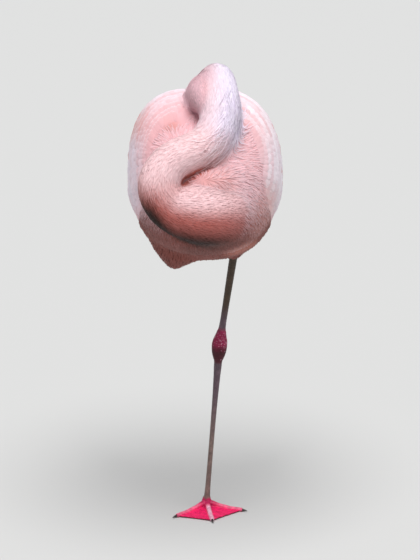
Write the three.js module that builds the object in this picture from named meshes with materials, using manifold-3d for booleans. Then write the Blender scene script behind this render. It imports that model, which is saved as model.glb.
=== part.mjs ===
// A life-size model of a Chilean flamingo asleep on its left leg, with its neck looped over its breast and
// its head laid back between the wings. Millimetres, +Z up, the bird faces -Y and its left side is +X.
// The origin is on the floor, under the joint where the toes of the standing foot meet.
import * as THREE from "three";
import { ConvexGeometry } from "three/addons/geometries/ConvexGeometry.js";
import { mergeVertices } from "three/addons/utils/BufferGeometryUtils.js";
import Module from "manifold-3d";

const wasm = await Module();
wasm.setup();

// ---- driving dimensions ----
const GAP = 0.4; // clearance between neighbouring solids
const SEAM = 0.35; // width of the thin cuts between lengths of the neck

// Trunk: its own axis runs from breast to tail and dips towards the tail.
const BODY_CENTRE = [-2, -31, 534];
const BODY_PITCH = THREE.MathUtils.degToRad(20);
const BODY_SQUARENESS = 2.5; // exponent of the superellipse sections
const BACK_GROOVE = 12; // depth of the hollow between the wings
const BACK_GROOVE_WIDTH = 26;
// along the axis: half width, height over the axis, depth under it
const TRUNK = [
  { u: -150, half: 0, top: -42, under: 42 },
  { u: -142, half: 36, top: -2, under: 78 },
  { u: -122, half: 68, top: 54, under: 98 },
  { u: -85, half: 96, top: 102, under: 112 },
  { u: -35, half: 112, top: 130, under: 117 },
  { u: 20, half: 113, top: 132, under: 118 },
  { u: 75, half: 103, top: 114, under: 108 },
  { u: 130, half: 75, top: 82, under: 84 },
  { u: 175, half: 48, top: 50, under: 52 },
  { u: 205, half: 25, top: 24, under: 24 },
  { u: 214, half: 0, top: 0, under: 0 },
];

// Wing: the folded wing and the long shoulder feathers over it, as one shell on the trunk.
// along the axis: half width and height of the shell's outside, its thickness, and the angles round the
// body, from straight up, of its upper and lower edge
const WING = [
  { u: -110, half: 86, top: 88, thick: 14, from: 24, to: 80 },
  { u: -102, half: 95, top: 106, thick: 20, from: 15, to: 98 },
  { u: -78, half: 107, top: 130, thick: 28, from: 6, to: 111 },
  { u: -40, half: 116, top: 145, thick: 34, from: 4, to: 117 },
  { u: 20, half: 119, top: 149, thick: 38, from: 7, to: 119 },
  { u: 80, half: 112, top: 134, thick: 38, from: 7, to: 116 },
  { u: 140, half: 91, top: 106, thick: 32, from: 6, to: 112 },
  { u: 195, half: 64, top: 72, thick: 17, from: 6, to: 106 },
  { u: 240, half: 42, top: 45, thick: 8, from: 5, to: 98 },
  { u: 272, half: 26, top: 28, thick: 5, from: 8, to: 86 },
  { u: 288, half: 18, top: 20, thick: 2, from: 22, to: 66 },
];
const WING_SQUARENESS = { left: 2.42, right: 2.8 }; // the right wing's shoulder stands out more
const WING_SQUARENESS_BELOW = 2.05;
const WING_LIFT = { left: 0, right: -1 };
// Black flight feathers, whose tips show under the wing's: as the wing, but inside it by a distance
const PRIMARIES = [
  { u: 170, inside: 24, thick: 5, from: 62, to: 104 },
  { u: 240, inside: 12, thick: 3.6, from: 40, to: 92 },
  { u: 284, inside: 7, thick: 2.4, from: 34, to: 78 },
  { u: 302, inside: 5, thick: 1.2, from: 42, to: 62 },
];
// Tail: half width, half thickness and height over the axis
const TAIL = [
  { u: 150, half: 38, thick: 11, over: -18 },
  { u: 195, half: 37, thick: 8, over: -18 },
  { u: 240, half: 32, thick: 5, over: -17 },
  { u: 275, half: 24, thick: 3, over: -15 },
  { u: 286, half: 13, thick: 1.2, over: -14 },
];

// Neck: centre line and radius, from inside the breast to the back of the skull.
const NECK = [
  [54, -34, 506, 45],
  [39, -104, 507, 50],
  [4, -158, 516, 48],
  [-33, -180, 525, 41],
  [-59, -187, 541, 35],
  [-69, -185, 567, 33],
  [-58, -176, 591, 31.5],
  [-36, -163, 604, 31],
  [-10, -148, 612, 31],
  [9, -134, 625, 32],
  [19, -117, 644, 32],
  [22, -98, 666, 30.5],
  [20, -76, 687, 28],
  [16, -52, 696, 27],
  [9, -30, 690, 25.5],
  [4, -16, 681, 22],
];
const NECK_TIGHTEST = 4.5; // the knot at the sharpest bend
const NECK_CUTS = [0, 3, 5.5, 8.5, 11.5, 15]; // knots at which the neck is parted

// Head: turned back over the shoulders, its bill towards the tail.
const HEAD_CENTRE = [-4, -4, 668];
const HEAD_YAW = THREE.MathUtils.degToRad(6); // towards the bird's right flank
const HEAD_PITCH = THREE.MathUtils.degToRad(11); // bill down
// along the head with its loosened cheek feathers: half width, half height, height of the section's middle
const SKULL = [
  { f: -44, half: 0, tall: 0, mid: 1 },
  { f: -40, half: 13, tall: 15, mid: 0 },
  { f: -28, half: 23, tall: 28, mid: -2 },
  { f: -9, half: 27, tall: 35, mid: -4 },
  { f: 8, half: 24, tall: 31, mid: -6 },
  { f: 21, half: 19, tall: 23, mid: -6 },
  { f: 31, half: 14.5, tall: 17, mid: -7 },
  { f: 35, half: 12.4, tall: 14.8, mid: -8 },
];
const EYE_RADIUS = 6.2;
const EYE_PLACE = { f: 9, out: 19.6, g: 3.5 };
// Bill: middle line forwards and upwards, half width and half height
const BILL = [
  { f: 35.6, g: -8, half: 12, tall: 14.4 },
  { f: 50, g: -9.5, half: 11.6, tall: 14 },
  { f: 65, g: -13, half: 11.4, tall: 14.2 },
  { f: 77, g: -22, half: 11, tall: 14 },
  { f: 85, g: -35, half: 9.6, tall: 12 },
  { f: 89, g: -49, half: 7.4, tall: 8.8 },
  { f: 90, g: -61, half: 4.6, tall: 5 },
  { f: 89.5, g: -68, half: 1.6, tall: 1.8 },
];
const BILL_LINE = 0.3; // height of the gape in the section, as a share of its half height

// Legs: joints of the standing (left) leg and of the one drawn up (right).
const TOE_JOINT = [0, 0, 13];
const ANKLE = [20, 10, 266];
const TIBIA_TOP = [45, -18.6, 440];
const SHANK_RADIUS = 4.1;
const SHANK_TOP_RADIUS = 5.6; // under the ankle
const SHANK_DEPTH = 1.25; // the shank is deeper than wide
const TIBIA_RADIUS = 5.1; // over the ankle
const TIBIA_TOP_RADIUS = 6.2; // where it goes into the feathers
const TIBIA_DEPTH = 1.1;
const ANKLE_RADIUS = 11.6;
const ANKLE_HALF_LENGTH = 29;
const RAISED_ANKLE = [-54, 182, 396];
const RAISED_SPLIT = 7; // half the distance between the two bones at the folded ankle
const RAISED_TIBIA_TOP = [-66, 60, 450];
const RAISED_SHANK_END = [-46, -44, 410];
// Feathers of the thighs: lowest point, drift of the middle upwards, height, and half extents at the belly
const THIGH_RIGHT = { tip: [-48, -30, 396], lean: [-1, 8], height: 58, across: 31, along: 62 };
const THIGH_LEFT = { tip: [42, -16, 408], lean: [-4, 6], height: 44, across: 27, along: 40 };

// Standing foot: where each toe's tip rests, and the size of a toe.
const TOE_TIPS = { inner: [-47, -40], middle: [9, -60], outer: [56, -12.5] };
const TOE_RADIUS = 4.9;
const TOE_TIP_RADIUS = 3.2;
const PAD_RADIUS = 9;
const PAD_HEIGHT = 17;
const WEB_THICKNESS = 1.3;
const CLAW_LENGTH = 8;
const HIND_TOE = { from: [0.4, 6, 22], to: [1, 18, 13], radius: 2.3 };

// ---- colours ----
const finish = (color, roughness) => new THREE.MeshStandardMaterial({ color, roughness, metalness: 0 });
const PLUMAGE = finish("#f3c3bd", 0.85);
const NECK_PLUMAGE = finish("#f0a99e", 0.85);
const WING_PLUMAGE = finish("#f2b7b4", 0.8);
const FLIGHT_FEATHERS = finish("#1d191b", 0.6);
const LEG_SKIN = finish("#8d8078", 0.55);
const JOINT_SKIN = finish("#b3204f", 0.5);
const WEB_SKIN = finish("#e0254f", 0.5);
const BILL_HORN = finish("#ead9d2", 0.35);
const BILL_BLACK = finish("#2a2425", 0.3);
const CLAW_HORN = finish("#2b2524", 0.4);
const EYE = finish("#d9b53a", 0.1);

// ---- small tools ----
const vec = (a) => new THREE.Vector3(...a);
const { lerp, degToRad, clamp } = THREE.MathUtils;
const range = (n, from = 0, to = 1) => Array.from({ length: n + 1 }, (_, i) => from + ((to - from) * i) / n);

// A smooth curve through numbers at whole values of t.
function spline(values, t) {
  const last = values.length - 1;
  const i = clamp(Math.floor(t), 0, last - 1);
  const at = (k) => values[clamp(k, 0, last)];
  const f = t - i;
  const [a, b, c, d] = [at(i - 1), at(i), at(i + 1), at(i + 2)];
  return b + 0.5 * f * (c - a + f * (2 * a - 5 * b + 4 * c - d + f * (3 * (b - c) + d - a)));
}

// One field of a station list at a value of the list's first field, which rises along the list.
function station(list, key, field, value) {
  const keys = list.map((s) => s[key]);
  let i = 0;
  while (i < keys.length - 2 && value > keys[i + 1]) i++;
  const t = i + (value - keys[i]) / (keys[i + 1] - keys[i]);
  return spline(list.map((s) => s[field]), t);
}

// A closed solid through rings with the same number of points. Each end is closed by a fan to its middle.
function loft(rings) {
  const count = rings[0].length;
  const middle = (ring) => ring.reduce((sum, p) => sum.add(p), new THREE.Vector3()).divideScalar(count);
  const points = [...rings.flat(), middle(rings[0]), middle(rings.at(-1))];
  const [first, last] = [points.length - 2, points.length - 1];
  const end = (rings.length - 1) * count;
  const faces = [];
  for (let j = 0; j < count; j++) {
    const k = (j + 1) % count;
    faces.push(first, k, j, last, end + j, end + k);
    for (let i = 0; i < rings.length - 1; i++) {
      const [a, b] = [i * count, (i + 1) * count];
      faces.push(a + j, a + k, b + k, a + j, b + k, b + j);
    }
  }
  const geometry = new THREE.BufferGeometry().setFromPoints(points);
  geometry.setIndex(faces);
  return solid(geometry);
}

// A geometry as a manifold-3d solid that faces outwards, without faces that have no area.
function solid(geometry) {
  const plain = geometry.clone();
  plain.deleteAttribute("normal");
  plain.deleteAttribute("uv");
  const merged = mergeVertices(plain, 1e-4);
  const vertProperties = merged.attributes.position.array;
  const index = [...merged.index.array];
  const faces = [];
  let volume = 0;
  const at = (k) => new THREE.Vector3().fromArray(vertProperties, 3 * k);
  for (let i = 0; i < index.length; i += 3) {
    const [a, b, c] = index.slice(i, i + 3);
    if (a === b || b === c || a === c) continue;
    faces.push([a, b, c]);
    volume += at(a).dot(at(b).cross(at(c)));
  }
  const turned = volume < 0 ? faces.map(([a, b, c]) => [a, c, b]) : faces;
  const triVerts = new Uint32Array(turned.flat());
  return new wasm.Manifold(new wasm.Mesh({ numProp: 3, vertProperties, triVerts }));
}

// A tube of elliptical section along a curve: radii gives its two half widths at a place from 0 to 1.
function tube(path, radii, sides, steps) {
  const frames = path.computeFrenetFrames(steps, false);
  return loft(
    range(steps).map((t, i) => {
      const centre = path.getPointAt(t);
      const [wide, deep] = radii(t);
      return range(sides - 1, 0, (2 * Math.PI * (sides - 1)) / sides).map((a) =>
        centre
          .clone()
          .addScaledVector(frames.normals[i], wide * Math.cos(a))
          .addScaledVector(frames.binormals[i], deep * Math.sin(a)),
      );
    }),
  );
}

const lower = ([x, y, z], by) => [x, y, z - by];
const straight = (a, b) => new THREE.LineCurve3(vec(a), vec(b));
const joined = (...solids) => solids.reduce((a, b) => a.add(b));
const without = (one, ...cutters) => cutters.reduce((a, b) => a.subtract(b), one);

// ---- trunk and wings ----
// A place in the body's own frame: across, along the axis towards the tail, and over the axis.
function bodyPlace(across, along, over) {
  const [sin, cos] = [Math.sin(BODY_PITCH), Math.cos(BODY_PITCH)];
  return new THREE.Vector3(across, along * cos + over * sin, over * cos - along * sin).add(vec(BODY_CENTRE));
}

// A point of a superellipse: the angle runs from straight up towards the side.
function superellipse(angle, half, top, under, squareness) {
  const [s, c] = [Math.sin(angle), Math.cos(angle)];
  const power = 2 / squareness;
  const across = half * Math.sign(s) * Math.abs(s) ** power;
  const over = (c > 0 ? top : under) * Math.sign(c) * Math.abs(c) ** power;
  return [across, over];
}

const TRUNK_SIDES = 20;
const TRUNK_STEPS = 12;

function trunkRing(u, out, shift) {
  const half = Math.max(station(TRUNK, "u", "half", u), 0);
  const top = station(TRUNK, "u", "top", u);
  const under = station(TRUNK, "u", "under", u);
  const groove = BACK_GROOVE * clamp(half / 90, 0, 1);
  return range(TRUNK_SIDES - 1, 0, TRUNK_SIDES - 1).map((j) => {
    const angle = (2 * Math.PI * j) / TRUNK_SIDES;
    const middle = (top - under) / 2;
    const reach = (top + under) / 2;
    const [across, over] = superellipse(angle, half + out, reach + out, reach + out, BODY_SQUARENESS);
    const hollow = over > 0 ? groove * Math.exp(-((across / BACK_GROOVE_WIDTH) ** 2)) * (over / reach) : 0;
    return bodyPlace(across, u + shift, middle + over - hollow);
  });
}

function trunkSolid(out = 0) {
  const [from, to] = [TRUNK[0].u, TRUNK.at(-1).u];
  const along = (t) => (from + to) / 2 - ((to - from) / 2) * Math.cos(Math.PI * t);
  const shift = (t) => out * Math.sign(Math.round(t * TRUNK_STEPS) - TRUNK_STEPS / 2);
  return loft(range(TRUNK_STEPS).map((t) => trunkRing(along(lerp(0.035, 0.965, t)), out, shift(t))));
}

const WING_STEPS = 11;
const WING_POINTS = 9;

// A shell over one side of the body at u: its outside lies inside the wing's outside by a distance.
function shellRing(u, side, inside, thick, from, to, points) {
  const wing = (field) => station(WING, "u", field, u);
  const name = side > 0 ? "left" : "right";
  const outside = range(points - 1).map((q) => {
    const angle = degToRad(lerp(from, to, q));
    const squareness = angle > Math.PI / 2 ? WING_SQUARENESS_BELOW : WING_SQUARENESS[name];
    const [across, over] = superellipse(angle, wing("half"), wing("top"), wing("half"), squareness);
    const place = new THREE.Vector2(across, over);
    return place.multiplyScalar(1 - inside / place.length());
  });
  const under = outside.map((p, i) => {
    const edge = Math.sin((Math.PI * i) / (points - 1)) ** 0.8;
    return p.clone().multiplyScalar(1 - (thick * lerp(0.5, 1, edge)) / p.length());
  });
  return [...outside, ...under.reverse()].map((p) => bodyPlace(side * p.x, u, p.y + WING_LIFT[name]));
}

function wingSolid(side, out = 0) {
  const at = (field, u) => station(WING, "u", field, u);
  const rings = range(WING_STEPS, WING[0].u, WING.at(-1).u).map((u) =>
    shellRing(u, side, -out, at("thick", u) + 2 * out, at("from", u), at("to", u), WING_POINTS),
  );
  return loft(rings);
}

function primariesSolid(side, out = 0) {
  const at = (field, u) => station(PRIMARIES, "u", field, u);
  const rings = range(7, PRIMARIES[0].u, PRIMARIES.at(-1).u).map((u) =>
    shellRing(u, side, at("inside", u) - out, at("thick", u) + 2 * out, at("from", u), at("to", u), 6),
  );
  return loft(rings);
}

function tailSolid() {
  const at = (field, u) => station(TAIL, "u", field, u);
  return loft(
    range(8, TAIL[0].u, TAIL.at(-1).u).map((u) =>
      range(13, 0, 13).map((j) => {
        const angle = (2 * Math.PI * j) / 14;
        const droop = 3 * Math.cos(angle) ** 2; // the outer feathers hang lower
        const over = at("over", u) - droop + at("thick", u) * Math.sin(angle);
        return bodyPlace(at("half", u) * Math.cos(angle), u, over);
      }),
    ),
  );
}

// ---- neck ----
const neckAt = (t) => [0, 1, 2, 3].map((k) => spline(NECK.map((knot) => knot[k]), t));
const NECK_SIDES = 14;
const NECK_STEP = 0.5; // knots from ring to ring

// A length of neck between two knots. Where it bends too tightly for a plain loft, it is joined from short
// convex pieces of three rings each, which share two rings with the next.
function neckLength(from, to, out = 0) {
  const steps = Math.round((to - from) / NECK_STEP);
  let across = new THREE.Vector3(0, 0, 1);
  const rings = range(steps, from, to).map((t, i) => {
    const [x, y, z, radius] = neckAt(t);
    const ahead = vec(neckAt(t + 0.01)).sub(vec(neckAt(t - 0.01))).normalize();
    across = across.clone().addScaledVector(ahead, -across.dot(ahead)).normalize();
    const other = ahead.clone().cross(across);
    const end = i === 0 ? -out : i === steps ? out : 0;
    return range(NECK_SIDES - 1, 0, NECK_SIDES - 1).map((j) => {
      const angle = (2 * Math.PI * j) / NECK_SIDES;
      return new THREE.Vector3(x, y, z)
        .addScaledVector(ahead, end)
        .addScaledVector(across, (radius + out) * Math.cos(angle))
        .addScaledVector(other, (radius + out) * Math.sin(angle));
    });
  });
  const tight = from < NECK_TIGHTEST && to > NECK_TIGHTEST;
  const links = () => rings.slice(2).map((_, i) => solid(new ConvexGeometry(rings.slice(i, i + 3).flat())));
  return tight ? joined(...links()) : loft(rings);
}

// The share of a knot that a thin cut takes at t.
function seamAt(t) {
  const length = vec(neckAt(t + 0.5)).distanceTo(vec(neckAt(t - 0.5)));
  return SEAM / length;
}

// ---- head and bill ----
// A place in the head's own frame: forwards to the bill, out to a side, and up to the crown.
function headPlace(f, out, g) {
  const turn = new THREE.Euler(-HEAD_PITCH, 0, HEAD_YAW, "ZXY");
  return new THREE.Vector3(out, f, g).applyEuler(turn).add(vec(HEAD_CENTRE));
}

const SKULL_SIDES = 14;
const SKULL_STEPS = 8;

function skullSolid(out = 0) {
  const [from, to] = [SKULL[0].f + 0.6, SKULL.at(-1).f];
  const at = (field, f) => station(SKULL, "f", field, f);
  return loft(
    range(SKULL_STEPS).map((t) => {
      const f = from + (to - from) * t ** 1.35;
      return range(SKULL_SIDES - 1, 0, SKULL_SIDES - 1).map((j) => {
        const angle = (2 * Math.PI * j) / SKULL_SIDES;
        const side = (Math.max(at("half", f), 1) + out) * Math.sin(angle);
        const up = at("mid", f) + (Math.max(at("tall", f), 1) + out) * Math.cos(angle);
        return headPlace(f, side, up);
      });
    }),
  );
}

const BILL_STEPS = 9;
const BILL_SIDES = 8;

// The part of the bill whose section lies between two angles from straight up, closed by a straight gape.
function mandible(from, to, lift, out = 0, sides = BILL_SIDES) {
  const last = BILL.length - 1;
  const at = (field, t) => spline(BILL.map((s) => s[field]), t);
  return loft(
    range(BILL_STEPS, 0, last).map((t) => {
      const rise = (field) => at(field, t + 0.05) - at(field, t - 0.05);
      const ahead = new THREE.Vector2(rise("f"), rise("g")).normalize();
      return range(sides - 1, from, to).map((angle) => {
        const side = (at("half", t) + out) * Math.sin(angle);
        const up = (at("tall", t) + out) * Math.cos(angle) + lift;
        return headPlace(at("f", t) - ahead.y * up, side, at("g", t) + ahead.x * up);
      });
    }),
  );
}

const ball = (centre, radius) => {
  const sphere = new THREE.IcosahedronGeometry(radius, 1);
  return solid(sphere.translate(centre.x, centre.y, centre.z));
};

// ---- legs ----
// A straight length of leg that changes its half width towards one end or the other.
function bone(from, to, half, deep, out) {
  return tube(straight(from, to), (t) => [half(t) + out, half(t) * deep + out], 10, 4);
}

// The swollen ankle, which blends into the lengths above and below it.
function ankleKnob(below, centre, above, endRadius) {
  const reach = (to) => vec(to).sub(vec(centre)).setLength(ANKLE_HALF_LENGTH).add(vec(centre));
  const bend = new THREE.QuadraticBezierCurve3(reach(below), vec(centre), reach(above));
  const swell = (t) => endRadius + (ANKLE_RADIUS - endRadius) * Math.sin(Math.PI * t) ** 1.5;
  return tube(bend, (t) => [swell(t), swell(t) * 1.05], 12, 8);
}

const pointAlong = (from, to, distance) =>
  vec(to).sub(vec(from)).setLength(distance).add(vec(from)).toArray();

// A tuft of leg feathers, hanging from the belly to a rounded tip.
function tuft({ tip, lean, height, across, along }, out = 0) {
  return loft(
    range(6, 0.015, 1).map((t) => {
      const swell = Math.sqrt(1 - (1 - t) ** 2);
      return range(13, 0, 13).map((j) => {
        const angle = (2 * Math.PI * j) / 14;
        return new THREE.Vector3(
          tip[0] + lean[0] * t + (across * swell + out) * Math.cos(angle),
          tip[1] + lean[1] * t + (along * swell + out) * Math.sin(angle),
          tip[2] - out + height * t ** 1.15,
        );
      });
    }),
  );
}

// ---- standing foot ----
// A toe with a flat sole on the floor: half width and height along it, swollen at two joints.
function toe(tip, out = 0) {
  const joint = vec([TOE_JOINT[0], TOE_JOINT[1], 0]);
  const end = vec([tip[0], tip[1], 0]);
  const ahead = end.clone().sub(joint).normalize();
  const side = new THREE.Vector3(-ahead.y, ahead.x, 0);
  return loft(
    range(8).map((t) => {
      const centre = joint.clone().lerp(end, lerp(0.02, 1, t));
      const knuckle = 0.7 * Math.sin(3 * Math.PI * t) ** 2;
      const half = (t === 1 ? 1.6 : lerp(TOE_RADIUS, TOE_TIP_RADIUS, t) + knuckle) + out;
      const height = lerp(TOE_JOINT[2] - 1, 2.2 * TOE_TIP_RADIUS, Math.sqrt(t)) * (t === 1 ? 0.5 : 1) + out;
      return range(7).map((q) => {
        const angle = Math.PI * q;
        return centre
          .clone()
          .addScaledVector(side, half * Math.cos(angle) * (1 + 0.15 * Math.sin(angle)))
          .setZ(q === 0 || q === 1 ? -out : height * Math.sin(angle) ** 0.8);
      });
    }),
  );
}

// The skin between two toes, from near the joint to a shallow scallop between their tips.
function web(tipA, tipB) {
  const point = (s, q) => {
    const reach = s * (0.97 - 0.07 * Math.sin(Math.PI * q));
    const spot = new THREE.Vector2(...tipA).lerp(new THREE.Vector2(...tipB), q).multiplyScalar(reach);
    const sag = 1 - 0.35 * Math.sin(Math.PI * q);
    return new THREE.Vector3(spot.x, spot.y, lerp(TOE_JOINT[2] - 3.5, 2.6, Math.sqrt(s)) * sag);
  };
  return loft(
    range(6, 0.06, 1).map((s) => {
      const top = range(5).map((q) => point(s, q));
      const sole = top.map((p) => p.clone().setZ(Math.max(p.z - WEB_THICKNESS, 0)));
      return [...top, ...sole.reverse()];
    }),
  );
}

// The pad where the toes meet, flat on the floor.
function footPad(out) {
  const [radius, height] = [PAD_RADIUS + out, PAD_HEIGHT + out];
  const dome = new THREE.IcosahedronGeometry(1, 2).scale(radius, radius, height);
  return solid(dome).trimByPlane([0, 0, 1], out ? -out : 0);
}

function claw(tip) {
  const ahead = new THREE.Vector3(tip[0], tip[1], 0).normalize();
  const start = new THREE.Vector3(tip[0], tip[1], 2.3).addScaledVector(ahead, GAP);
  const end = start.clone().addScaledVector(ahead, CLAW_LENGTH).setZ(1);
  return tube(new THREE.LineCurve3(start, end), (t) => [lerp(1.9, 0.5, t), lerp(1.9, 0.5, t)], 6, 3);
}

// ---- the solids ----
const largest = (body) =>
  body.decompose().reduce((best, piece) => (piece.volume() > best.volume() ? piece : best));

const neckSpans = NECK_CUTS.slice(1).map((to, i) => [NECK_CUTS[i], to]);
const neckBand = (out) =>
  neckSpans.map(([from, to]) => neckLength(from + seamAt(from) / 2, to - seamAt(to) / 2, out));
const neckPieces = neckBand(0);
const neckGaps = neckBand(GAP);
const skull = skullSolid();
const skullGap = skullSolid(GAP);
const upperBill = mandible(-Math.acos(BILL_LINE), Math.acos(BILL_LINE), 0.2);
const lowerBill = mandible(Math.acos(BILL_LINE), 2 * Math.PI - Math.acos(BILL_LINE), -0.2);
const billGap = mandible(0, (2 * Math.PI * 11) / 12, 0, GAP + 0.6, 12);
const eyeSpots = [1, -1].map((side) => headPlace(EYE_PLACE.f, side * EYE_PLACE.out, EYE_PLACE.g));
const trunkWhole = trunkSolid();
const trunkGap = trunkSolid(GAP);
const eyeGaps = eyeSpots.map((spot) => ball(spot, EYE_RADIUS + GAP));
const headGaps = [...neckGaps, skullGap, billGap, ...eyeGaps];

const parts = new Map();
const add = (name, body, material) => parts.set(name, { body: largest(body), material });

// neck, each length clear of those after it, which it meets again where the neck folds
neckPieces.forEach((piece, i) => {
  const later = [...neckGaps.slice(i + 1), skullGap];
  add(`neck_${i + 1}`, without(piece, ...later), NECK_PLUMAGE);
});

// head
add("head", without(skull, billGap, ...eyeGaps), PLUMAGE);
["left", "right"].forEach((side, i) => add(`eye_${side}`, ball(eyeSpots[i], EYE_RADIUS), EYE));
add("bill_upper", upperBill, BILL_HORN);
add("bill_lower", lowerBill, BILL_BLACK);

// standing leg
const ankleEnd = (of, to) => pointAlong(of, to, ANKLE_HALF_LENGTH + GAP);
const upperLeg = (from, to, out) =>
  bone(from, to, (t) => lerp(TIBIA_RADIUS, TIBIA_TOP_RADIUS, t), TIBIA_DEPTH, out);
const tibia = (out) => upperLeg(ankleEnd(ANKLE, TIBIA_TOP), TIBIA_TOP, out);
const tarsus = (from, to, out = 0) =>
  bone(from, to, (t) => lerp(SHANK_RADIUS, SHANK_TOP_RADIUS, t ** 3), SHANK_DEPTH, out);
add("shank_left", tarsus(pointAlong(TOE_JOINT, ANKLE, 2), ankleEnd(ANKLE, TOE_JOINT)), LEG_SKIN);
add("ankle_left", ankleKnob(TOE_JOINT, ANKLE, TIBIA_TOP, TIBIA_RADIUS), JOINT_SKIN);
add("tibia_left", tibia(0), LEG_SKIN);

// leg drawn up under the right flank
const raisedShank = (out) => tarsus(RAISED_SHANK_END, lower(RAISED_ANKLE, RAISED_SPLIT), out);
const raisedTibia = (out) => upperLeg(lower(RAISED_ANKLE, -RAISED_SPLIT), RAISED_TIBIA_TOP, out);
const raisedAnkle = (out) => {
  const knob = new THREE.IcosahedronGeometry(1, 2).scale(
    ANKLE_RADIUS - 1 + out,
    ANKLE_RADIUS + 1 + out,
    ANKLE_RADIUS + RAISED_SPLIT / 2 + out,
  );
  return solid(knob.translate(...RAISED_ANKLE));
};
add("ankle_right", raisedAnkle(0), JOINT_SKIN);
add("shank_right", without(raisedShank(0), raisedAnkle(GAP)), LEG_SKIN);
add("tibia_right", without(raisedTibia(0), raisedAnkle(GAP)), LEG_SKIN);

// leg feathers
const tuftRight = (out) => tuft(THIGH_RIGHT, out);
const tuftLeft = (out) => tuft(THIGH_LEFT, out);
const raisedGaps = [raisedTibia(GAP), raisedShank(GAP)];
add("thigh_right", without(tuftRight(0), trunkGap, ...raisedGaps, ...headGaps), PLUMAGE);
add("thigh_left", without(tuftLeft(0), trunkGap, tibia(GAP), tuftRight(GAP), ...headGaps), PLUMAGE);

// trunk, wings and tail
add("trunk", without(trunkWhole, ...headGaps, tibia(GAP), ...raisedGaps), PLUMAGE);
const primariesGaps = [primariesSolid(1, GAP), primariesSolid(-1, GAP)];
for (const [name, side] of [["left", 1], ["right", -1]]) {
  add(`wing_${name}`, without(wingSolid(side), trunkGap, ...headGaps, ...primariesGaps), WING_PLUMAGE);
  add(`primaries_${name}`, without(primariesSolid(side), trunkGap), FLIGHT_FEATHERS);
}
const wingGaps = [wingSolid(1, GAP), wingSolid(-1, GAP)];
add("tail", without(tailSolid(), trunkGap, ...primariesGaps, ...wingGaps), PLUMAGE);

// foot
const padGap = footPad(GAP);
const hindToe = (t) => [lerp(HIND_TOE.radius, 0.9, t), lerp(HIND_TOE.radius, 0.9, t)];
const shankGap = tarsus(pointAlong(TOE_JOINT, ANKLE, 2), ankleEnd(ANKLE, TOE_JOINT), GAP);
const hind = tube(straight(HIND_TOE.from, HIND_TOE.to), hindToe, 8, 4);
add("toe_hind", without(hind, shankGap, footPad(GAP)), LEG_SKIN);
add("foot_pad", without(footPad(0), tarsus(pointAlong(TOE_JOINT, ANKLE, 2 - GAP), ANKLE, GAP)), WEB_SKIN);
for (const [name, tip] of Object.entries(TOE_TIPS)) {
  const clear = name === "middle" ? [padGap] : [padGap, toe(TOE_TIPS.middle, GAP)];
  add(`toe_${name}`, without(toe(tip), ...clear), WEB_SKIN);
  add(`claw_${name}`, claw(tip), CLAW_HORN);
}
for (const [name, a, b] of [["inner", "inner", "middle"], ["outer", "middle", "outer"]]) {
  const sides = [toe(TOE_TIPS[a], GAP), toe(TOE_TIPS[b], GAP)];
  add(`web_${name}`, without(web(TOE_TIPS[a], TOE_TIPS[b]), padGap, ...sides), WEB_SKIN);
}

const group = new THREE.Group();
for (const [name, { body, material }] of parts) {
  const mesh = body.getMesh();
  const geometry = new THREE.BufferGeometry();
  geometry.setAttribute("position", new THREE.BufferAttribute(mesh.vertProperties, 3));
  geometry.setIndex(new THREE.BufferAttribute(mesh.triVerts, 1));
  geometry.computeVertexNormals();
  const piece = new THREE.Mesh(geometry, material);
  piece.name = name;
  group.add(piece);
}
export default group;
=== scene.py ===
"""A life-size Chilean flamingo asleep on its left leg, dressed with skin, plumage, horn and scales.

The frame is the part's own: metres, +Z up, the bird faces -Y, its left side is +X, and the origin is on the
floor under the joint of the standing foot. Sizes below are in millimetres, as in the part's drawing.
"""

import math

import bmesh
import bpy
import numpy as np
from mathutils import Matrix, Vector
from mathutils.bvhtree import BVHTree


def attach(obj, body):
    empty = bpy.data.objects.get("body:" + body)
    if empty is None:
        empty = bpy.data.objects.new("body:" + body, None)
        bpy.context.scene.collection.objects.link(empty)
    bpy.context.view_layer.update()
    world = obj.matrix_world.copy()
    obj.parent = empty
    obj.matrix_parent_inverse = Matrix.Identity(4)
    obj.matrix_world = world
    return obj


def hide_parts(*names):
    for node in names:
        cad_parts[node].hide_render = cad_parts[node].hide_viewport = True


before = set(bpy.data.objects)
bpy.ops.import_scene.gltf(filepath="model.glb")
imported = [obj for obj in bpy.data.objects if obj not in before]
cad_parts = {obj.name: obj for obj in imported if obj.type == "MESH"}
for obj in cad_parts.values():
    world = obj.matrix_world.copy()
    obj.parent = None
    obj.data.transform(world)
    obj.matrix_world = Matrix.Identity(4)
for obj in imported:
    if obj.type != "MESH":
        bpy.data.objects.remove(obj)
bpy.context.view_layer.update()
chance = np.random.default_rng(11)
MM = 0.001

# ---- sizes shared with the part's drawing ----
BODY_CENTRE = np.array([-2.0, -31.0, 534.0])
BODY_PITCH = math.radians(20)
BODY_SQUARENESS = 2.5
BACK_GROOVE = 12.0
BACK_GROOVE_WIDTH = 26.0
# along the body's axis: half width, height over the axis, depth under it
TRUNK = np.array([
    (-150, 0, -42, 42), (-142, 36, -2, 78), (-122, 68, 54, 98), (-85, 96, 102, 112), (-35, 112, 130, 117),
    (20, 113, 132, 118), (75, 103, 114, 108), (130, 75, 82, 84), (175, 48, 50, 52), (205, 25, 24, 24),
    (214, 0, 0, 0)], float)
# along the body's axis: half width, height, angles of the upper and the lower edge
WING = np.array([
    (-110, 86, 88, 24, 80), (-102, 95, 106, 15, 98), (-78, 107, 130, 6, 111), (-40, 116, 145, 4, 117),
    (20, 119, 149, 7, 119), (80, 112, 134, 7, 116), (140, 91, 106, 6, 112), (195, 64, 72, 6, 106),
    (240, 42, 45, 5, 98), (272, 26, 28, 8, 86), (288, 18, 20, 22, 66)], float)
WING_SQUARENESS = {1: 2.42, -1: 2.8}
WING_SQUARENESS_BELOW = 2.05
WING_LIFT = {1: 0.0, -1: -1.0}
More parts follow.
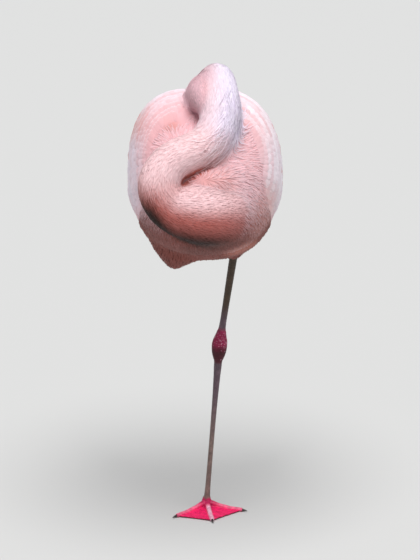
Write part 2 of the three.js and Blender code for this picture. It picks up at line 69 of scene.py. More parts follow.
# along the body's axis: half width, half thickness, height over the axis
TAIL = np.array([
    (150, 38, 11, -18), (195, 37, 8, -18), (240, 32, 5, -17), (275, 24, 3, -15), (286, 13, 1.2, -14)], float)
# centre line and radius, from inside the breast to the back of the skull
NECK = np.array([
    (54, -34, 506, 45), (39, -104, 507, 50), (4, -158, 516, 48), (-33, -180, 525, 41), (-59, -187, 541, 35),
    (-69, -185, 567, 33), (-58, -176, 591, 31.5), (-36, -163, 604, 31), (-10, -148, 612, 31),
    (9, -134, 625, 32), (19, -117, 644, 32), (22, -98, 666, 30.5), (20, -76, 687, 28), (16, -52, 696, 27),
    (9, -30, 690, 25.5), (4, -16, 681, 22)], float)
HEAD_CENTRE = np.array([-4.0, -4.0, 668.0])
HEAD_YAW = math.radians(6)
HEAD_PITCH = math.radians(11)
# along the head: half width, half height, height of the section's middle
SKULL = np.array([
    (-44, 0, 0, 1), (-40, 13, 15, 0), (-28, 23, 28, -2), (-9, 27, 35, -4), (8, 24, 31, -6), (21, 19, 23, -6),
    (31, 14.5, 17, -7), (35, 12.4, 14.8, -8)], float)
EYE_RADIUS = 6.2
EYE_PLACE = (9.0, 19.6, 3.5)
# along the bill: forwards, upwards, half width, half height
BILL = np.array([
    (35.6, -8, 12, 14.4), (50, -9.5, 11.6, 14), (65, -13, 11.4, 14.2), (77, -22, 11, 14), (85, -35, 9.6, 12),
    (89, -49, 7.4, 8.8), (90, -61, 4.6, 5), (89.5, -68, 1.6, 1.8)], float)
GAPE = math.acos(0.3)
TOE_JOINT = np.array([0.0, 0.0, 13.0])
ANKLE = np.array([20.0, 10.0, 266.0])
TIBIA_TOP = np.array([45.0, -18.6, 440.0])
RAISED_ANKLE = np.array([-54.0, 182.0, 396.0])
RAISED_TIBIA_TOP = np.array([-66.0, 60.0, 450.0])
RAISED_SHANK_END = np.array([-46.0, -44.0, 410.0])
# thigh feathers: lowest point, drift upwards, height, half extents
THIGHS = {
    -1: dict(tip=(-48, -30, 396), lean=(-1, 8), height=58, across=31, along=62),
    1: dict(tip=(42, -16, 408), lean=(-4, 6), height=44, across=27, along=40),
}
TOE_TIPS = {"inner": (-47.0, -40.0), "middle": (9.0, -60.0), "outer": (56.0, -12.5)}

# ---- depth of the coat over the skin ----
BODY_COAT = 4.0
NECK_COAT = 2.0
HEAD_COAT = 1.6


# ---- curves and forms ----
def curve(values, t):
    """A smooth curve through rows of values, at places t counted in rows."""
    values = np.asarray(values, float)
    last = len(values) - 1
    i = np.clip(np.floor(t), 0, last - 1).astype(int)
    f = t - i
    if values.ndim > 1:
        f = f[..., None]
    a, b, c, d = (values[np.clip(i + k, 0, last)] for k in (-1, 0, 1, 2))
    return b + 0.5 * f * (c - a + f * (2 * a - 5 * b + 4 * c - d + f * (3 * (b - c) + d - a)))


def stations(table, value):
    """The fields of a station table at values of its first column."""
    keys = table[:, 0]
    i = np.clip(np.searchsorted(keys, value, side="right") - 1, 0, len(keys) - 2)
    t = i + (value - keys[i]) / (keys[i + 1] - keys[i])
    return np.moveaxis(curve(table[:, 1:], t), -1, 0)


def station(table, value):
    """The fields of a station table at one value, as plain numbers."""
    return (float(x) for x in stations(table, np.array(value)))


def lengths(v):
    return np.linalg.norm(v, axis=-1)


def unit(v):
    return v / np.maximum(np.linalg.norm(v, axis=-1, keepdims=True), 1e-9)


def eased(low, high, x):
    """Rises smoothly from 0 at low to 1 at high, or falls where high is the smaller of the two."""
    t = np.clip((x - low) / (high - low), 0, 1)
    return t * t * (3 - 2 * t)


def turns(count):
    """Angles once round, in equal steps."""
    return np.arange(count) * 2 * math.pi / count


def run_along(line):
    """How far each place of a line is from its start."""
    return np.concatenate([[0], np.cumsum(lengths(np.diff(line, axis=0)))])


def level_ring(centre, across, along, count):
    angle = turns(count)
    return np.stack([centre[0] + across * np.cos(angle), centre[1] + along * np.sin(angle),
                     np.full(count, float(centre[2]))], -1)


BODY_AXIS = np.array([0, math.cos(BODY_PITCH), -math.sin(BODY_PITCH)])
BODY_UP = np.array([0, math.sin(BODY_PITCH), math.cos(BODY_PITCH)])


def body_place(across, along, over):
    across, along, over = np.broadcast_arrays(across, along, over)
    side = across[..., None] * np.array([1.0, 0, 0])
    return side + along[..., None] * BODY_AXIS + over[..., None] * BODY_UP + BODY_CENTRE


def body_frame(points):
    """Points as places across, along and over the body's axis."""
    d = points - BODY_CENTRE
    return d[..., 0], d @ BODY_AXIS, d @ BODY_UP


def oval(angle, half, top, under, squareness):
    s, c = np.sin(angle), np.cos(angle)
    power = 2 / squareness
    across = half * np.sign(s) * np.abs(s) ** power
    over = np.where(c > 0, top, under) * np.sign(c) * np.abs(c) ** power
    return across, over


def trunk_ring(u, out, count=56):
    half, top, under = station(TRUNK, u)
    half = max(half, 0)
    angle = turns(count)
    middle, reach = (top - under) / 2, (top + under) / 2
    across, over = oval(angle, max(half + out, 1), max(reach + out, 1), max(reach + out, 1), BODY_SQUARENESS)
    hollow = np.where(over > 0, BACK_GROOVE * min(half / 90, 1) * np.exp(-(across / BACK_GROOVE_WIDTH) ** 2)
                      * over / max(reach, 1), 0)
    return body_place(across, u, middle + over - hollow)


def wing_place(side, u, angle, out):
    """A place on the wing's outside: the angle runs from straight up to the side."""
    half, top, _, _ = stations(WING, u)
    squareness = np.where(angle > math.pi / 2, WING_SQUARENESS_BELOW, WING_SQUARENESS[side])
    across, over = oval(angle, half, top, half, squareness)
    length = np.hypot(across, over)
    share = 1 + out / np.maximum(length, 1)
    return body_place(side * across * share, u, over * share + WING_LIFT[side])


def wing_ring(side, u, out, thick, count=14):
    _, _, high, low = station(WING, u)
    angle = np.radians(np.linspace(high, low, count))
    rim = np.abs(np.linspace(-1, 1, count)) ** 3 * float(np.interp(u, [-110, -40, 60, 200], [7, 5, 2.5, 0]))
    outside = wing_place(side, np.full(count, float(u)), angle, out - rim)
    inside = wing_place(side, np.full(count, float(u)), angle, out - thick)
    return np.concatenate([outside, inside[::-1]])


def tail_ring(u, out, count=20):
    half, thick, over = station(TAIL, u)
    angle = turns(count)
    droop = 3 * np.cos(angle) ** 2
    return body_place((half + out) * np.cos(angle), u, over - droop + max(thick + out, 0.6) * np.sin(angle))


def carried_sides(ahead):
    """A direction to the side at each place of a line, carried along it without a twist."""
    side, sides = np.array([0.0, 0, 1]), []
    for direction in ahead:
        side = unit(side - direction * (side @ direction))
        sides.append(side)
    return np.array(sides)


# The neck's centre line as a fine table: place, radius, direction towards the head and a side direction.
NECK_T = np.linspace(0, len(NECK) - 1, 421)
NECK_LINE = curve(NECK, NECK_T)
NECK_AHEAD = unit(np.gradient(NECK_LINE[:, :3], axis=0))
NECK_SIDE = carried_sides(NECK_AHEAD)


def neck_ring(t, out, count=28):
    i = int(round(t / NECK_T[-1] * (len(NECK_T) - 1)))
    angle = turns(count)
    side, ahead = NECK_SIDE[i], NECK_AHEAD[i]
    other = np.cross(ahead, side)
    radius = NECK_LINE[i, 3] + out
    return NECK_LINE[i, :3] + radius * (np.cos(angle)[:, None] * side + np.sin(angle)[:, None] * other)


def nearest_neck(points):
    """For points: the nearest place on the neck's line, as its index, and the distance to the surface."""
    best = np.full(len(points), 1e9)
    place = np.zeros(len(points), int)
    for start in range(0, len(points), 4000):
        part = points[start:start + 4000]
        gap = lengths(part[:, None] - NECK_LINE[None, ::3, :3]) - NECK_LINE[None, ::3, 3]
        place[start:start + 4000] = gap.argmin(1) * 3
        best[start:start + 4000] = gap.min(1)
    return place, best


HEAD_TURN = np.array(Matrix.Rotation(HEAD_YAW, 3, "Z") @ Matrix.Rotation(-HEAD_PITCH, 3, "X"))


def head_place(f, out, g):
    f, out, g = np.broadcast_arrays(f, out, g)
    return np.stack([out, f, g], -1) @ HEAD_TURN.T + HEAD_CENTRE


def head_ring(f, out, count=28):
    half, tall, mid = station(SKULL, f)
    angle = turns(count)
    return head_place(f, (max(half, 1) + out) * np.sin(angle), mid + (max(tall, 1) + out) * np.cos(angle))


def thigh_ring(side, t, out):
    form = THIGHS[side]
    swell = math.sqrt(1 - (1 - t) ** 2)
    x, y, z = form["tip"]
    centre = (x + form["lean"][0] * t, y + form["lean"][1] * t, z - out + form["height"] * t ** 1.15)
    across, along = (max(form[key] * swell + out, 0.5) for key in ("across", "along"))
    return level_ring(centre, across, along, 20)


# ---- modelling ----
def pick(*pieces):
    """Selects these pieces alone, in object mode, with the first of them active."""
    if bpy.context.object and bpy.context.object.mode != "OBJECT":
        bpy.ops.object.mode_set(mode="OBJECT")
    bpy.ops.object.select_all(action="DESELECT")
    for piece in pieces:
        piece.select_set(True)
    if pieces:
        bpy.context.view_layer.objects.active = pieces[0]


def drawn_out(name, rings):
    """A closed form made from one filled ring, extruded and set ring by ring."""
    pick()
    bpy.ops.mesh.primitive_circle_add(vertices=len(rings[0]), radius=1, fill_type="NGON", enter_editmode=True)
    piece = bpy.context.object
    piece.name = piece.data.name = name
    before = np.asarray(rings[0]) * MM
    for vert, place in zip(bmesh.from_edit_mesh(piece.data).verts, before):
        vert.co = place
    for ring in rings[1:]:
        bpy.ops.mesh.extrude_region_move()
        ring = np.asarray(ring) * MM
        for vert in bmesh.from_edit_mesh(piece.data).verts:
            if vert.select:
                vert.co = ring[((before - np.array(vert.co)) ** 2).sum(1).argmin()]
        before = ring
    bpy.ops.mesh.select_all(action="SELECT")
    bpy.ops.mesh.normals_make_consistent(inside=False)
    bmesh.update_edit_mesh(piece.data)
    bpy.ops.object.mode_set(mode="OBJECT")
    return piece


def joined(name, pieces):
    pick(*pieces)
    bpy.ops.object.join()
    whole = bpy.context.object
    whole.name = whole.data.name = name
    return whole


def apply_modifier(piece, kind, **settings):
    pick(piece)
    modifier = piece.modifiers.new(kind.lower(), kind)
    for key, value in settings.items():
        setattr(modifier, key, value)
    bpy.ops.object.modifier_apply(modifier=modifier.name)


def at_origin(piece):
    pick(piece)
    bpy.ops.object.transform_apply(location=True, rotation=True, scale=True)


def smooth(piece, angle=None):
    """Shades a piece smooth, all over or except at edges sharper than an angle in degrees."""
    pick(piece)
    if angle is None:
        bpy.ops.object.shade_smooth()
    else:
        bpy.ops.object.shade_smooth_by_angle(angle=math.radians(angle))


def values_of(items, field, width, kind=float):
    """One field of all items of a mesh, a row for each."""
    values = np.empty(len(items) * width, kind)
    items.foreach_get(field, values)
    return values.reshape(-1, width)


def vertices_of(piece):
    return values_of(piece.data.vertices, "co", 3) / MM


def paint(piece, colours):
    """Writes one colour, or a colour for each vertex, in linear light."""
    layer = piece.data.color_attributes.new("pigment", "FLOAT_COLOR", "POINT")
    flat = np.ones((len(piece.data.vertices), 4), np.float32)
    flat[:, :3] = colours
    layer.data.foreach_set("color", flat.ravel())


def lin(code):
    """A colour code as linear light."""
    s = np.array([int(code[i:i + 2], 16) for i in (1, 3, 5)]) / 255
    return np.where(s <= 0.04045, s / 12.92, ((s + 0.055) / 1.055) ** 2.4)


def mixed(a, b, share):
    share = np.asarray(share)[..., None]
    return a * (1 - share) + b * share


def layered(colour, *layers):
    """A colour with others laid over it, each with its share."""
    for other, share in layers:
        colour = mixed(colour, other, share)
    return colour


def dress(piece, material, slot, *nodes, colours=None, crease=None):
    """Gives a piece its colours, material and body, and hides the solids that it takes the place of.

    A piece with colours given here is also shaded smooth, up to its crease angle. Its slot is not used.
    """
    if colours is not None:
        smooth(piece, crease)
        paint(piece, colours)
    piece.data.materials.clear()
    piece.data.materials.append(material)
    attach(piece, "root")
    if nodes:
        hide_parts(*nodes)


# ---- materials ----
def set_inputs(material, node, inputs):
    """Sets a node's inputs: an output of another node is linked, anything else is a constant."""
    for key, value in inputs.items():
        if isinstance(value, bpy.types.NodeSocket):
            material.node_tree.links.new(value, node.inputs[key])
        else:
            node.inputs[key].default_value = value


def add_node(material, kind, output, inputs, **settings):
    node = material.node_tree.nodes.new("ShaderNode" + kind)
    for key, value in settings.items():
        setattr(node, key, value)
    set_inputs(material, node, inputs)
    return node.outputs[output]


def finish(name, noise, spread, relief, shader, scales=None):
    """A material of the painted pigment, uneven with fine noise and, where it has scales, dark between them.

    noise is the scale and detail of the noise; spread is the part of it that counts and the shades that this
    gives; relief is the strength and depth of the bumps; scales is how many scales there are in a metre.
    """
    material = bpy.data.materials.new(name)
    material.use_nodes = True
    colour = add_node(material, "Attribute", "Color", {}, attribute_name="pigment")
    place = add_node(material, "TexCoord", "Object", {})
    height = add_node(material, "TexNoise", "Fac", {"Vector": place, "Scale": noise[0], "Detail": noise[1]})
    shade = add_node(material, "MapRange", "Result", {
        "Value": height, **dict(zip(("From Min", "From Max", "To Min", "To Max"), spread))})
    if scales:
        cells = add_node(material, "TexVoronoi", "Distance", {"Vector": place, "Scale": scales},
                         feature="DISTANCE_TO_EDGE")
        height = add_node(material, "MapRange", "Result", {"Value": cells, "From Max": 0.12, "To Min": 0.62})
        shade = add_node(material, "Math", "Value", {0: height, 1: shade}, operation="MULTIPLY")
    colour = add_node(material, "VectorMath", "Vector", {0: colour, "Scale": shade}, operation="SCALE")
    inputs = {"Base Color": colour, **shader}
    if relief:
        inputs["Normal"] = add_node(material, "Bump", "Normal", {
            "Strength": relief[0], "Distance": relief[1], "Height": height})
    set_inputs(material, material.node_tree.nodes["Principled BSDF"], inputs)
    return material


FEATHER = {"Roughness": 0.75, "Sheen Weight": 0.08, "Sheen Roughness": 0.5, "Specular IOR Level": 0.3}
DOWN, PLUME = (finish(name, (900, 3), (0.3, 0.7, 0.9375, 1.025), (0.15, 0.0006), FEATHER)
               for name in ("plumage_down", "plumage_vanes"))
LEG_FINISH = finish("leg_scales", (160, 4), (0.3, 0.7, 0.7, 1.25), (0.5, 0.0005),
                    {"Roughness": 0.5, "Specular IOR Level": 0.4}, 420)
WEB_FINISH = finish("web_skin", (160, 4), (0.3, 0.7, 0.7, 1.25), (0.35, 0.0005),
                    {"Roughness": 0.42, "Specular IOR Level": 0.4}, 700)
HORN = finish("bill_horn", (300, 5), (0, 1, 0.75, 1.15), (0.2, 0.0004), {"Roughness": 0.38})
EYE_GLOSS = finish("eye_gloss", (1200, 2), (0, 1, 0.8, 1.1), None, {"Roughness": 0.06, "Coat Weight": 1.0})


# ---- the skin ----
# Loose plumage that fills the hollows beside the neck and round the drawn-up thigh: middle, half extents and
# how far it is smoothed into its neighbours
FILLS = (
    ((36, -116, 590), (22, 26, 46), 1.0),
    ((-4, -70, 680), (27, 46, 28), 1.0),
    ((-6, -86, 672), (16, 34, 20), 1.0),
    ((-2, -163, 561), (42, 24, 25), 0.2),
    ((28, -130, 568), (34, 30, 30), 0.5),
    ((-40, -38, 455), (45, 60, 45), 1.0),
)
CHEEK_FILL = FILLS[1]
VOXEL = 3.6
# along the body's axis, and how thick a wing is under its coat
WING_DEPTH = ([-110, -40, 80, 140, 195, 240, 270], [16, 34, 38, 34, 16, 6, 3])
# The narrow slit between the neck's upper band and the breast under it
CREASE_FROM, CREASE_TO = np.array([-33.0, -182, 573]), np.array([13.0, -163, 591])
CREASE_INWARDS = np.array([0.1, 0.93, -0.1])
CREASE_DEPTH = 6.5
CREASE_BARE = 4.5


def spaced(low, high, count, ends=0.0):
    """Places from low to high, closer together towards both ends when ends is 1."""
    t = np.linspace(0, 1, count)
    t = (1 - ends) * t + ends * (1 - np.cos(math.pi * t)) / 2
    return low + (high - low) * t


def fill_ring(middle, reach, t):
    girth = math.sqrt(max(1 - t * t, 0.0004))
    centre = (middle[0], middle[1], middle[2] + reach[2] * t)
    return level_ring(centre, reach[0] * girth, reach[1] * girth, 24)


def body_skin():
    """One closed skin over trunk, wings, root of the tail, thighs, neck, head and the loose plumage."""
    pieces = [drawn_out("trunk_form", [trunk_ring(u, -BODY_COAT) for u in spaced(-147, 211, 34, 1)])]
    for side in (-1, 1):
        pieces.append(drawn_out("wing_form", [
            wing_ring(side, u, -BODY_COAT * float(np.interp(u, [180, 270], [1, 0.25])),
                      np.interp(u, *WING_DEPTH))
            for u in spaced(-107, 268, 30)]))
        pieces.append(drawn_out("thigh_form", [thigh_ring(side, t, -BODY_COAT) for t in spaced(0.03, 1, 12)]))
    pieces.append(drawn_out("tail_form", [tail_ring(u, -1.5) for u in spaced(150, 268, 14)]))
    pieces.append(drawn_out("neck_form", [neck_ring(t, -NECK_COAT) for t in spaced(0.2, 14.8, 74)]))
    pieces.append(drawn_out("head_form", [head_ring(f, -HEAD_COAT) for f in spaced(-43, 35, 22)]))
    for middle, reach, _ in FILLS:
        pieces.append(drawn_out("fill_form", [fill_ring(middle, reach, t) for t in spaced(-1, 1, 14, 1)]))
    whole = joined("body_skin", pieces)
    apply_modifier(whole, "REMESH", mode="VOXEL", voxel_size=VOXEL * MM, adaptivity=0.0)
    return whole


def crease_gap(points):
    """Distances from the slit's line, drawn out towards its thin end."""
    run = CREASE_TO - CREASE_FROM
    way = np.clip((points - CREASE_FROM) @ run / (run @ run), 0, 1)
    return lengths(points - CREASE_FROM - way[:, None] * run) * (1 + 0.7 * way)


def soften(piece, levels, full, rounds):
    """Smooths a piece, in steps: not at all at level 0 and most at the full level."""
    group = piece.vertex_groups.new(name="softness")
    for level in range(1, full + 1):
        group.add(np.nonzero(levels == level)[0].tolist(), level / full, "REPLACE")
    apply_modifier(piece, "SMOOTH", factor=0.6, iterations=rounds, vertex_group="softness")
    piece.vertex_groups.clear()


def blend(piece):
    """Softens the joins between the forms, most where neck and breast meet, and sinks the slit."""
    places = vertices_of(piece)
    index, gap = nearest_neck(places)
    slit = crease_gap(places)
    breast = eased(3.4, 1.8, NECK_T[index]) * eased(40, 5, gap)
    shoulder = eased(-50, -85, body_frame(places)[1]) * eased(4, 14, gap)
    loose = np.zeros(len(places))
    for middle, reach, softness in FILLS:
        near = lengths((places - middle) / reach)
        low_down = 1 if middle[2] > 500 else eased(470, 430, places[:, 2])
        loose = np.maximum(loose, softness * eased(1.7, 1.1, near) * low_down)
    lightly = np.clip(0.35 + breast + shoulder + loose, 0, 1) * eased(3, 10, slit)
    strongly = np.maximum.reduce([breast, loose * 0.8, shoulder]) * eased(4, 14, slit)
    soften(piece, (lightly * 8).astype(int).clip(0, 7) + 1, 8, 10)
    soften(piece, (strongly * 7.99).astype(int).clip(0, 7), 7, 40)
    places = vertices_of(piece)
    places += CREASE_INWARDS * (CREASE_DEPTH * eased(8, 2, crease_gap(places)))[:, None]
    piece.data.vertices.foreach_set("co", (places * MM).ravel())


def unwrap(piece):
    pick(piece)
    piece.data.uv_layers.new(name="OFBake")
    bpy.ops.object.mode_set(mode="EDIT")
    bpy.ops.mesh.select_all(action="SELECT")
    bpy.ops.uv.smart_project(angle_limit=math.radians(70), island_margin=0.004)
    bpy.ops.object.mode_set(mode="OBJECT")


class Surface:
    """The skin as something to comb feathers over: nearest places, normals and places on its unwrap."""

    def __init__(self, piece):
        mesh = piece.data
        mesh.calc_loop_triangles()
        self.places = vertices_of(piece)
        self.faces = values_of(mesh.loop_triangles, "vertices", 3, int)
        loops = values_of(mesh.loop_triangles, "loops", 3, int)
        self.unwrap = values_of(mesh.uv_layers["OFBake"].data, "uv", 2)[loops].mean(1)
        self.tree = BVHTree.FromPolygons(self.places.tolist(), self.faces.tolist())
        a, b, c = (self.places[self.faces[:, k]] for k in range(3))
        face_normal = np.cross(b - a, c - a)
        self.area = lengths(face_normal) / 2
        self.middle = (a + b + c) / 3
        normal = np.zeros_like(self.places)
        for k in range(3):
            np.add.at(normal, self.faces[:, k], face_normal)
        self.normal = unit(normal)

    def nearest(self, points):
        """For points: the nearest places on the skin, the normals there and the faces."""
        hits = [self.tree.find_nearest(p) for p in points.tolist()]
        place = np.array([h[0] for h in hits])
        face = np.array([h[2] for h in hits])
        corner = self.places[self.faces[face]]
        weight = 1 / (lengths(corner - place[:, None]) + 0.3)
        return place, unit((self.normal[self.faces[face]] * weight[..., None]).sum(1)), face

    def scattered(self, share, distance):
        """Places about a distance apart, on faces chosen with a probability."""
        weight = self.area * share
        count = int(weight.sum() / distance ** 2 * 5)
        face = chance.choice(len(weight), count, p=weight / weight.sum())
        r = chance.random((count, 2))
        r = np.where(r.sum(1, keepdims=True) > 1, 1 - r, r)
        a, b, c = (self.places[self.faces[face, k]] for k in range(3))
        points = a + (b - a) * r[:, :1] + (c - a) * r[:, 1:]
        cells, kept = {}, []
        steps = [(x, y, z) for x in (-1, 0, 1) for y in (-1, 0, 1) for z in (-1, 0, 1)]
        keys = np.floor(points / distance).astype(int).tolist()
        for i, (p, (x, y, z)) in enumerate(zip(points.tolist(), keys)):
            around = (q for dx, dy, dz in steps for q in cells.get((x + dx, y + dy, z + dz), ()))
            if all((p[0] - q[0]) ** 2 + (p[1] - q[1]) ** 2 + (p[2] - q[2]) ** 2 >= distance ** 2
                   for q in around):
                cells.setdefault((x, y, z), []).append(p)
                kept.append(i)
        return points[kept]


# ---- the lie of the coat ----
def neck_share(points):
    """How far points belong to the neck, and where along it they are."""
    index, gap = nearest_neck(points)
    return eased(7, -1, gap) * eased(1.0, 2.4, NECK_T[index]), index


def head_share(points):
    f = (points - HEAD_CENTRE) @ HEAD_TURN
    reach = np.sqrt((f[:, 0] / 30) ** 2 + (f[:, 1] / 40) ** 2 + ((f[:, 2] - 1) / 31) ** 2)
    return eased(1.25, 1.0, reach) * eased(-30, -10, f[:, 1])


def cheek_share(points):
    """How far points belong to the loose feathers between the neck's arch and the head."""
    middle, reach, _ = CHEEK_FILL
    near = lengths((points - middle) / reach)
    return eased(1.35, 1.08, near) * eased(600, 630, points[..., 2])


def lie(points, normal):
    """The direction in which the feathers lie, along the surface."""
    over = body_frame(points)[2]
    flow = BODY_AXIS + np.array([0, 0, -1.0]) * (0.35 * eased(60, -60, over))[:, None]
    for form in (THIGHS[-1], THIGHS[1]):
        gap = np.hypot((points[:, 0] - form["tip"][0]) / form["across"],
                       (points[:, 1] - form["tip"][1]) / form["along"])
        flow = mixed(flow, np.array([0, 0.15, -1.0]), eased(1.5, 0.8, gap) * eased(440, 415, points[:, 2]))
    on_neck, index = neck_share(points)
    flow = mixed(flow, -NECK_AHEAD[index], on_neck)
    flow = mixed(flow, np.array([0, -1.0, 0.2]), head_share(points))
    flow = mixed(flow, np.array([0.25, -0.45, -0.85]), cheek_share(points) * (1 - on_neck))
    return unit(flow - normal * (flow * normal).sum(1, keepdims=True))


def combed(roots, length, steps, stray):
    """Lines laid over the skin from roots: places, normals and the face of each root."""
    place, normal, root_face = surface.nearest(roots)
    lines, normals = [place], [normal]
    turn = chance.normal(0, stray, len(roots))[:, None]
    for _ in range(steps):
        ahead = lie(place, normal)
        ahead = unit(ahead + np.cross(normal, ahead) * turn)
        place, normal, _ = surface.nearest(place + ahead * (length / steps)[:, None])
        lines.append(place)
        normals.append(normal)
    return np.stack(lines, 1), np.stack(normals, 1), root_face


def tube_faces(count, rows, cols):
    """Side faces and caps of closed tubes whose points come tube by tube and ring by ring."""
    row, col = np.meshgrid(np.arange(rows - 1), np.arange(cols), indexing="ij")
    a, b = row * cols + col, row * cols + (col + 1) % cols
    starts = np.arange(count)[:, None, None] * rows * cols
    quads = np.stack([a, b, b + cols, a + cols], -1).reshape(-1, 4) + starts
    caps = np.stack([np.arange(cols)[::-1], (rows - 1) * cols + np.arange(cols)]) + starts
    return quads.reshape(-1, 4), caps.reshape(-1, cols)


def vanes(lines, normals, width, lift, profile, section):
    """Closed blades along lines. The section lists points as (across, up), in half widths and millimetres.

    Gives the points, and for each point how far it is along its blade and out from the middle.
    """
    count, rows, cols = len(lines), lines.shape[1], len(section)
    ahead = unit(np.gradient(lines, axis=1))
    side = unit(np.cross(ahead, normals))
    up = np.cross(side, ahead)
    raised = lines + up * lift[..., None]
    half = width[:, None] / 2 * profile
    full = np.minimum(profile + 0.15, 1)
    points = np.stack([raised + side * (half * across)[..., None] + up * (over * full)[:, None]
                       for across, over in section], 2)
    along = np.tile(np.repeat(np.linspace(0, 1, rows), cols), count)
    out = np.tile([abs(across) for across, _ in section], count * rows)
    return points.reshape(-1, 3), along, out


def tubes(name, points, rows, cols, colours, patch):
    """A flat shaded piece of closed tubes, from their points, colours and places on the bake map."""
    quads, caps = tube_faces(len(points) // (rows * cols), rows, cols)
    mesh = bpy.data.meshes.new(name)
    mesh.vertices.add(len(points))
    mesh.vertices.foreach_set("co", (points * MM).ravel())
    loops = np.concatenate([quads.ravel(), caps.ravel()])
    totals = np.repeat([4, cols], [len(quads), len(caps)])
    mesh.loops.add(len(loops))
    mesh.loops.foreach_set("vertex_index", loops)
    mesh.polygons.add(len(totals))
    mesh.polygons.foreach_set("loop_start", np.concatenate([[0], np.cumsum(totals)[:-1]]))
    mesh.update(calc_edges=True)
    mesh.uv_layers.new(name="OFBake").data.foreach_set("uv", patch[loops].ravel())
    piece = bpy.data.objects.new(name, mesh)
    bpy.context.scene.collection.objects.link(piece)
    paint(piece, colours)
    mesh.polygons.foreach_set("use_smooth", np.zeros(len(totals), bool))
    return piece


# ---- colours ----
BACK_PALE = lin("#efe0ea")
BACK_PINK = lin("#eec8d0")
WING_CORAL = lin("#d98676")
LAVENDER = lin("#f0e4f2")
BREAST_PINK = lin("#e9b1b5")
# The belly's own pink, darkened with painted shade
BELLY_AND_PAINTED_SHADE = lin("#82433a")
WARM = lin("#c97a66")
NECK_LAVENDER = lin("#e9dff0")
NECK_ROSE = lin("#f6d0d3")
NECK_SALMON = lin("#c4685f")
# Painted shade for the neck's underside, and for the shadow of its loop on the belly
NECK_PAINTED_SHADE = lin("#2c110a")
# Painted shade for the slit under the neck's band
CREASE_PAINTED_SHADE = lin("#be5a4a")
SNOW = lin("#fbf0f6")
CHEEK = lin("#e2bac3")
INK, INK_EDGE = lin("#241c1f"), lin("#4a3a3c")
GREY = lin("#4e3c2b")
LILAC = lin("#6c5761")
TAN = lin("#867069")
CRIMSON = lin("#ab1f55")
# Painted shade for the underside of the ankle's joint
JOINT_PAINTED_SHADE = lin("#520c20")
WEB_RED = lin("#fa1a68")
TOE_PALE = lin("#f6c0d6")
# Painted shadow of the body on the top of the tibia
TIBIA_PAINTED_SHADOW = lin("#453629")
BONE_PINK = lin("#e9b7b0")
BILL_BLACK = lin("#1a1618")
NOSTRIL = lin("#5c2f2c")
IRIS, IRIS_RAY, PUPIL = lin("#dcc36a"), lin("#a8893c"), lin("#080606")
EYELID = lin("#e3bcc0")
CLAW = mixed(lin("#4b3d3b"), lin("#15100f"), 0.6)
# Places where the dye is stronger, and one painted shadow under the neck's loop: colour, share, reach and
# place
DYE_AND_SHADOW_SPOTS = (
    (WING_CORAL, 0.6, 20, (-51, -100, 631)),
    (WING_CORAL, 0.6, 20, (-87, -80, 602)),
    (WING_CORAL, 0.35, 48, (14, -184, 564)),
    (WING_CORAL, 0.45, 60, (90, -122, 512)),
    # painted shadow of the neck's loop on the belly
    (NECK_PAINTED_SHADE, 0.3, 45, (-10, -137, 456)),
)


def drift(points, size, phase=0.0):
    """Slow waves from 0 to 1 over the bird, for uneven dye."""
    x, y, z = (points / size).T
    wave = np.sin(x + 1.7 * np.sin(z * 0.8 + phase)) * np.cos(y * 0.9 + phase)
    return 0.5 + 0.3 * (wave + 0.6 * np.sin(z * 1.3 + x * 0.7))


def body_pigment(points, on_wing):
    """The colour of trunk, wings and thighs: pale on the back, banded at the flanks, dark under the belly with
    painted shade, and whitened with painted light at the front of the left wing.
    """
    across, along, over = body_frame(points)
    height = points[:, 2]
    bands = 0.5 + 0.5 * np.sin(along * 0.5 + 0.04 * over)
    flank = eased(70, 98, -across) * eased(35, 75, over) * eased(130, 60, along)
    breast = np.maximum(eased(-60, -105, along), eased(570, 500, height))
    # Darker low down: partly the belly's own colour, mostly painted shade
    under = eased(520, 425, height) if on_wing else eased(562, 478, height) * eased(10, -60, over)
    side = eased(78, 112, np.abs(across)) * eased(60, -20, along) * eased(-60, -30, over) * eased(75, 40, over)
    warm = lengths((points - np.array([51, -95, 456])) / np.array([30, 40, 22]))
    body = layered(
        BACK_PALE,
        (BACK_PINK, 0.75 * eased(0.3, 0.8, drift(points, 34))),
        (LAVENDER, 0.5 * eased(0.55, 0.9, drift(points, 27, 2.0))),
        (WING_CORAL, 0.95 * flank * (0.45 + 0.55 * bands)),
        (BREAST_PINK, 0.55 * eased(-20, -70, along) * eased(-30, 30, over) * bands),
        (BREAST_PINK, 0.9 * breast),
        (BELLY_AND_PAINTED_SHADE, under),
        (LAVENDER, side * (0.85 - 0.35 * bands)),
        (WARM, 0.55 * eased(1.3, 0.5, warm)))
    # Painted light: the front of the bird's left wing is whitened, on the side that the lamp leaves in shade
    if on_wing:
        pale = eased(20, 75, across) * eased(20, -60, along) * (0.25 + 0.75 * eased(-112, -82, along))
        body = mixed(body, SNOW, 0.75 * pale * (1 - 0.7 * bands))
    return layered(body, *((colour, share * eased(reach, 0.3 * reach, lengths(points - np.array(place))))
                           for colour, share, reach, place in DYE_AND_SHADOW_SPOTS))


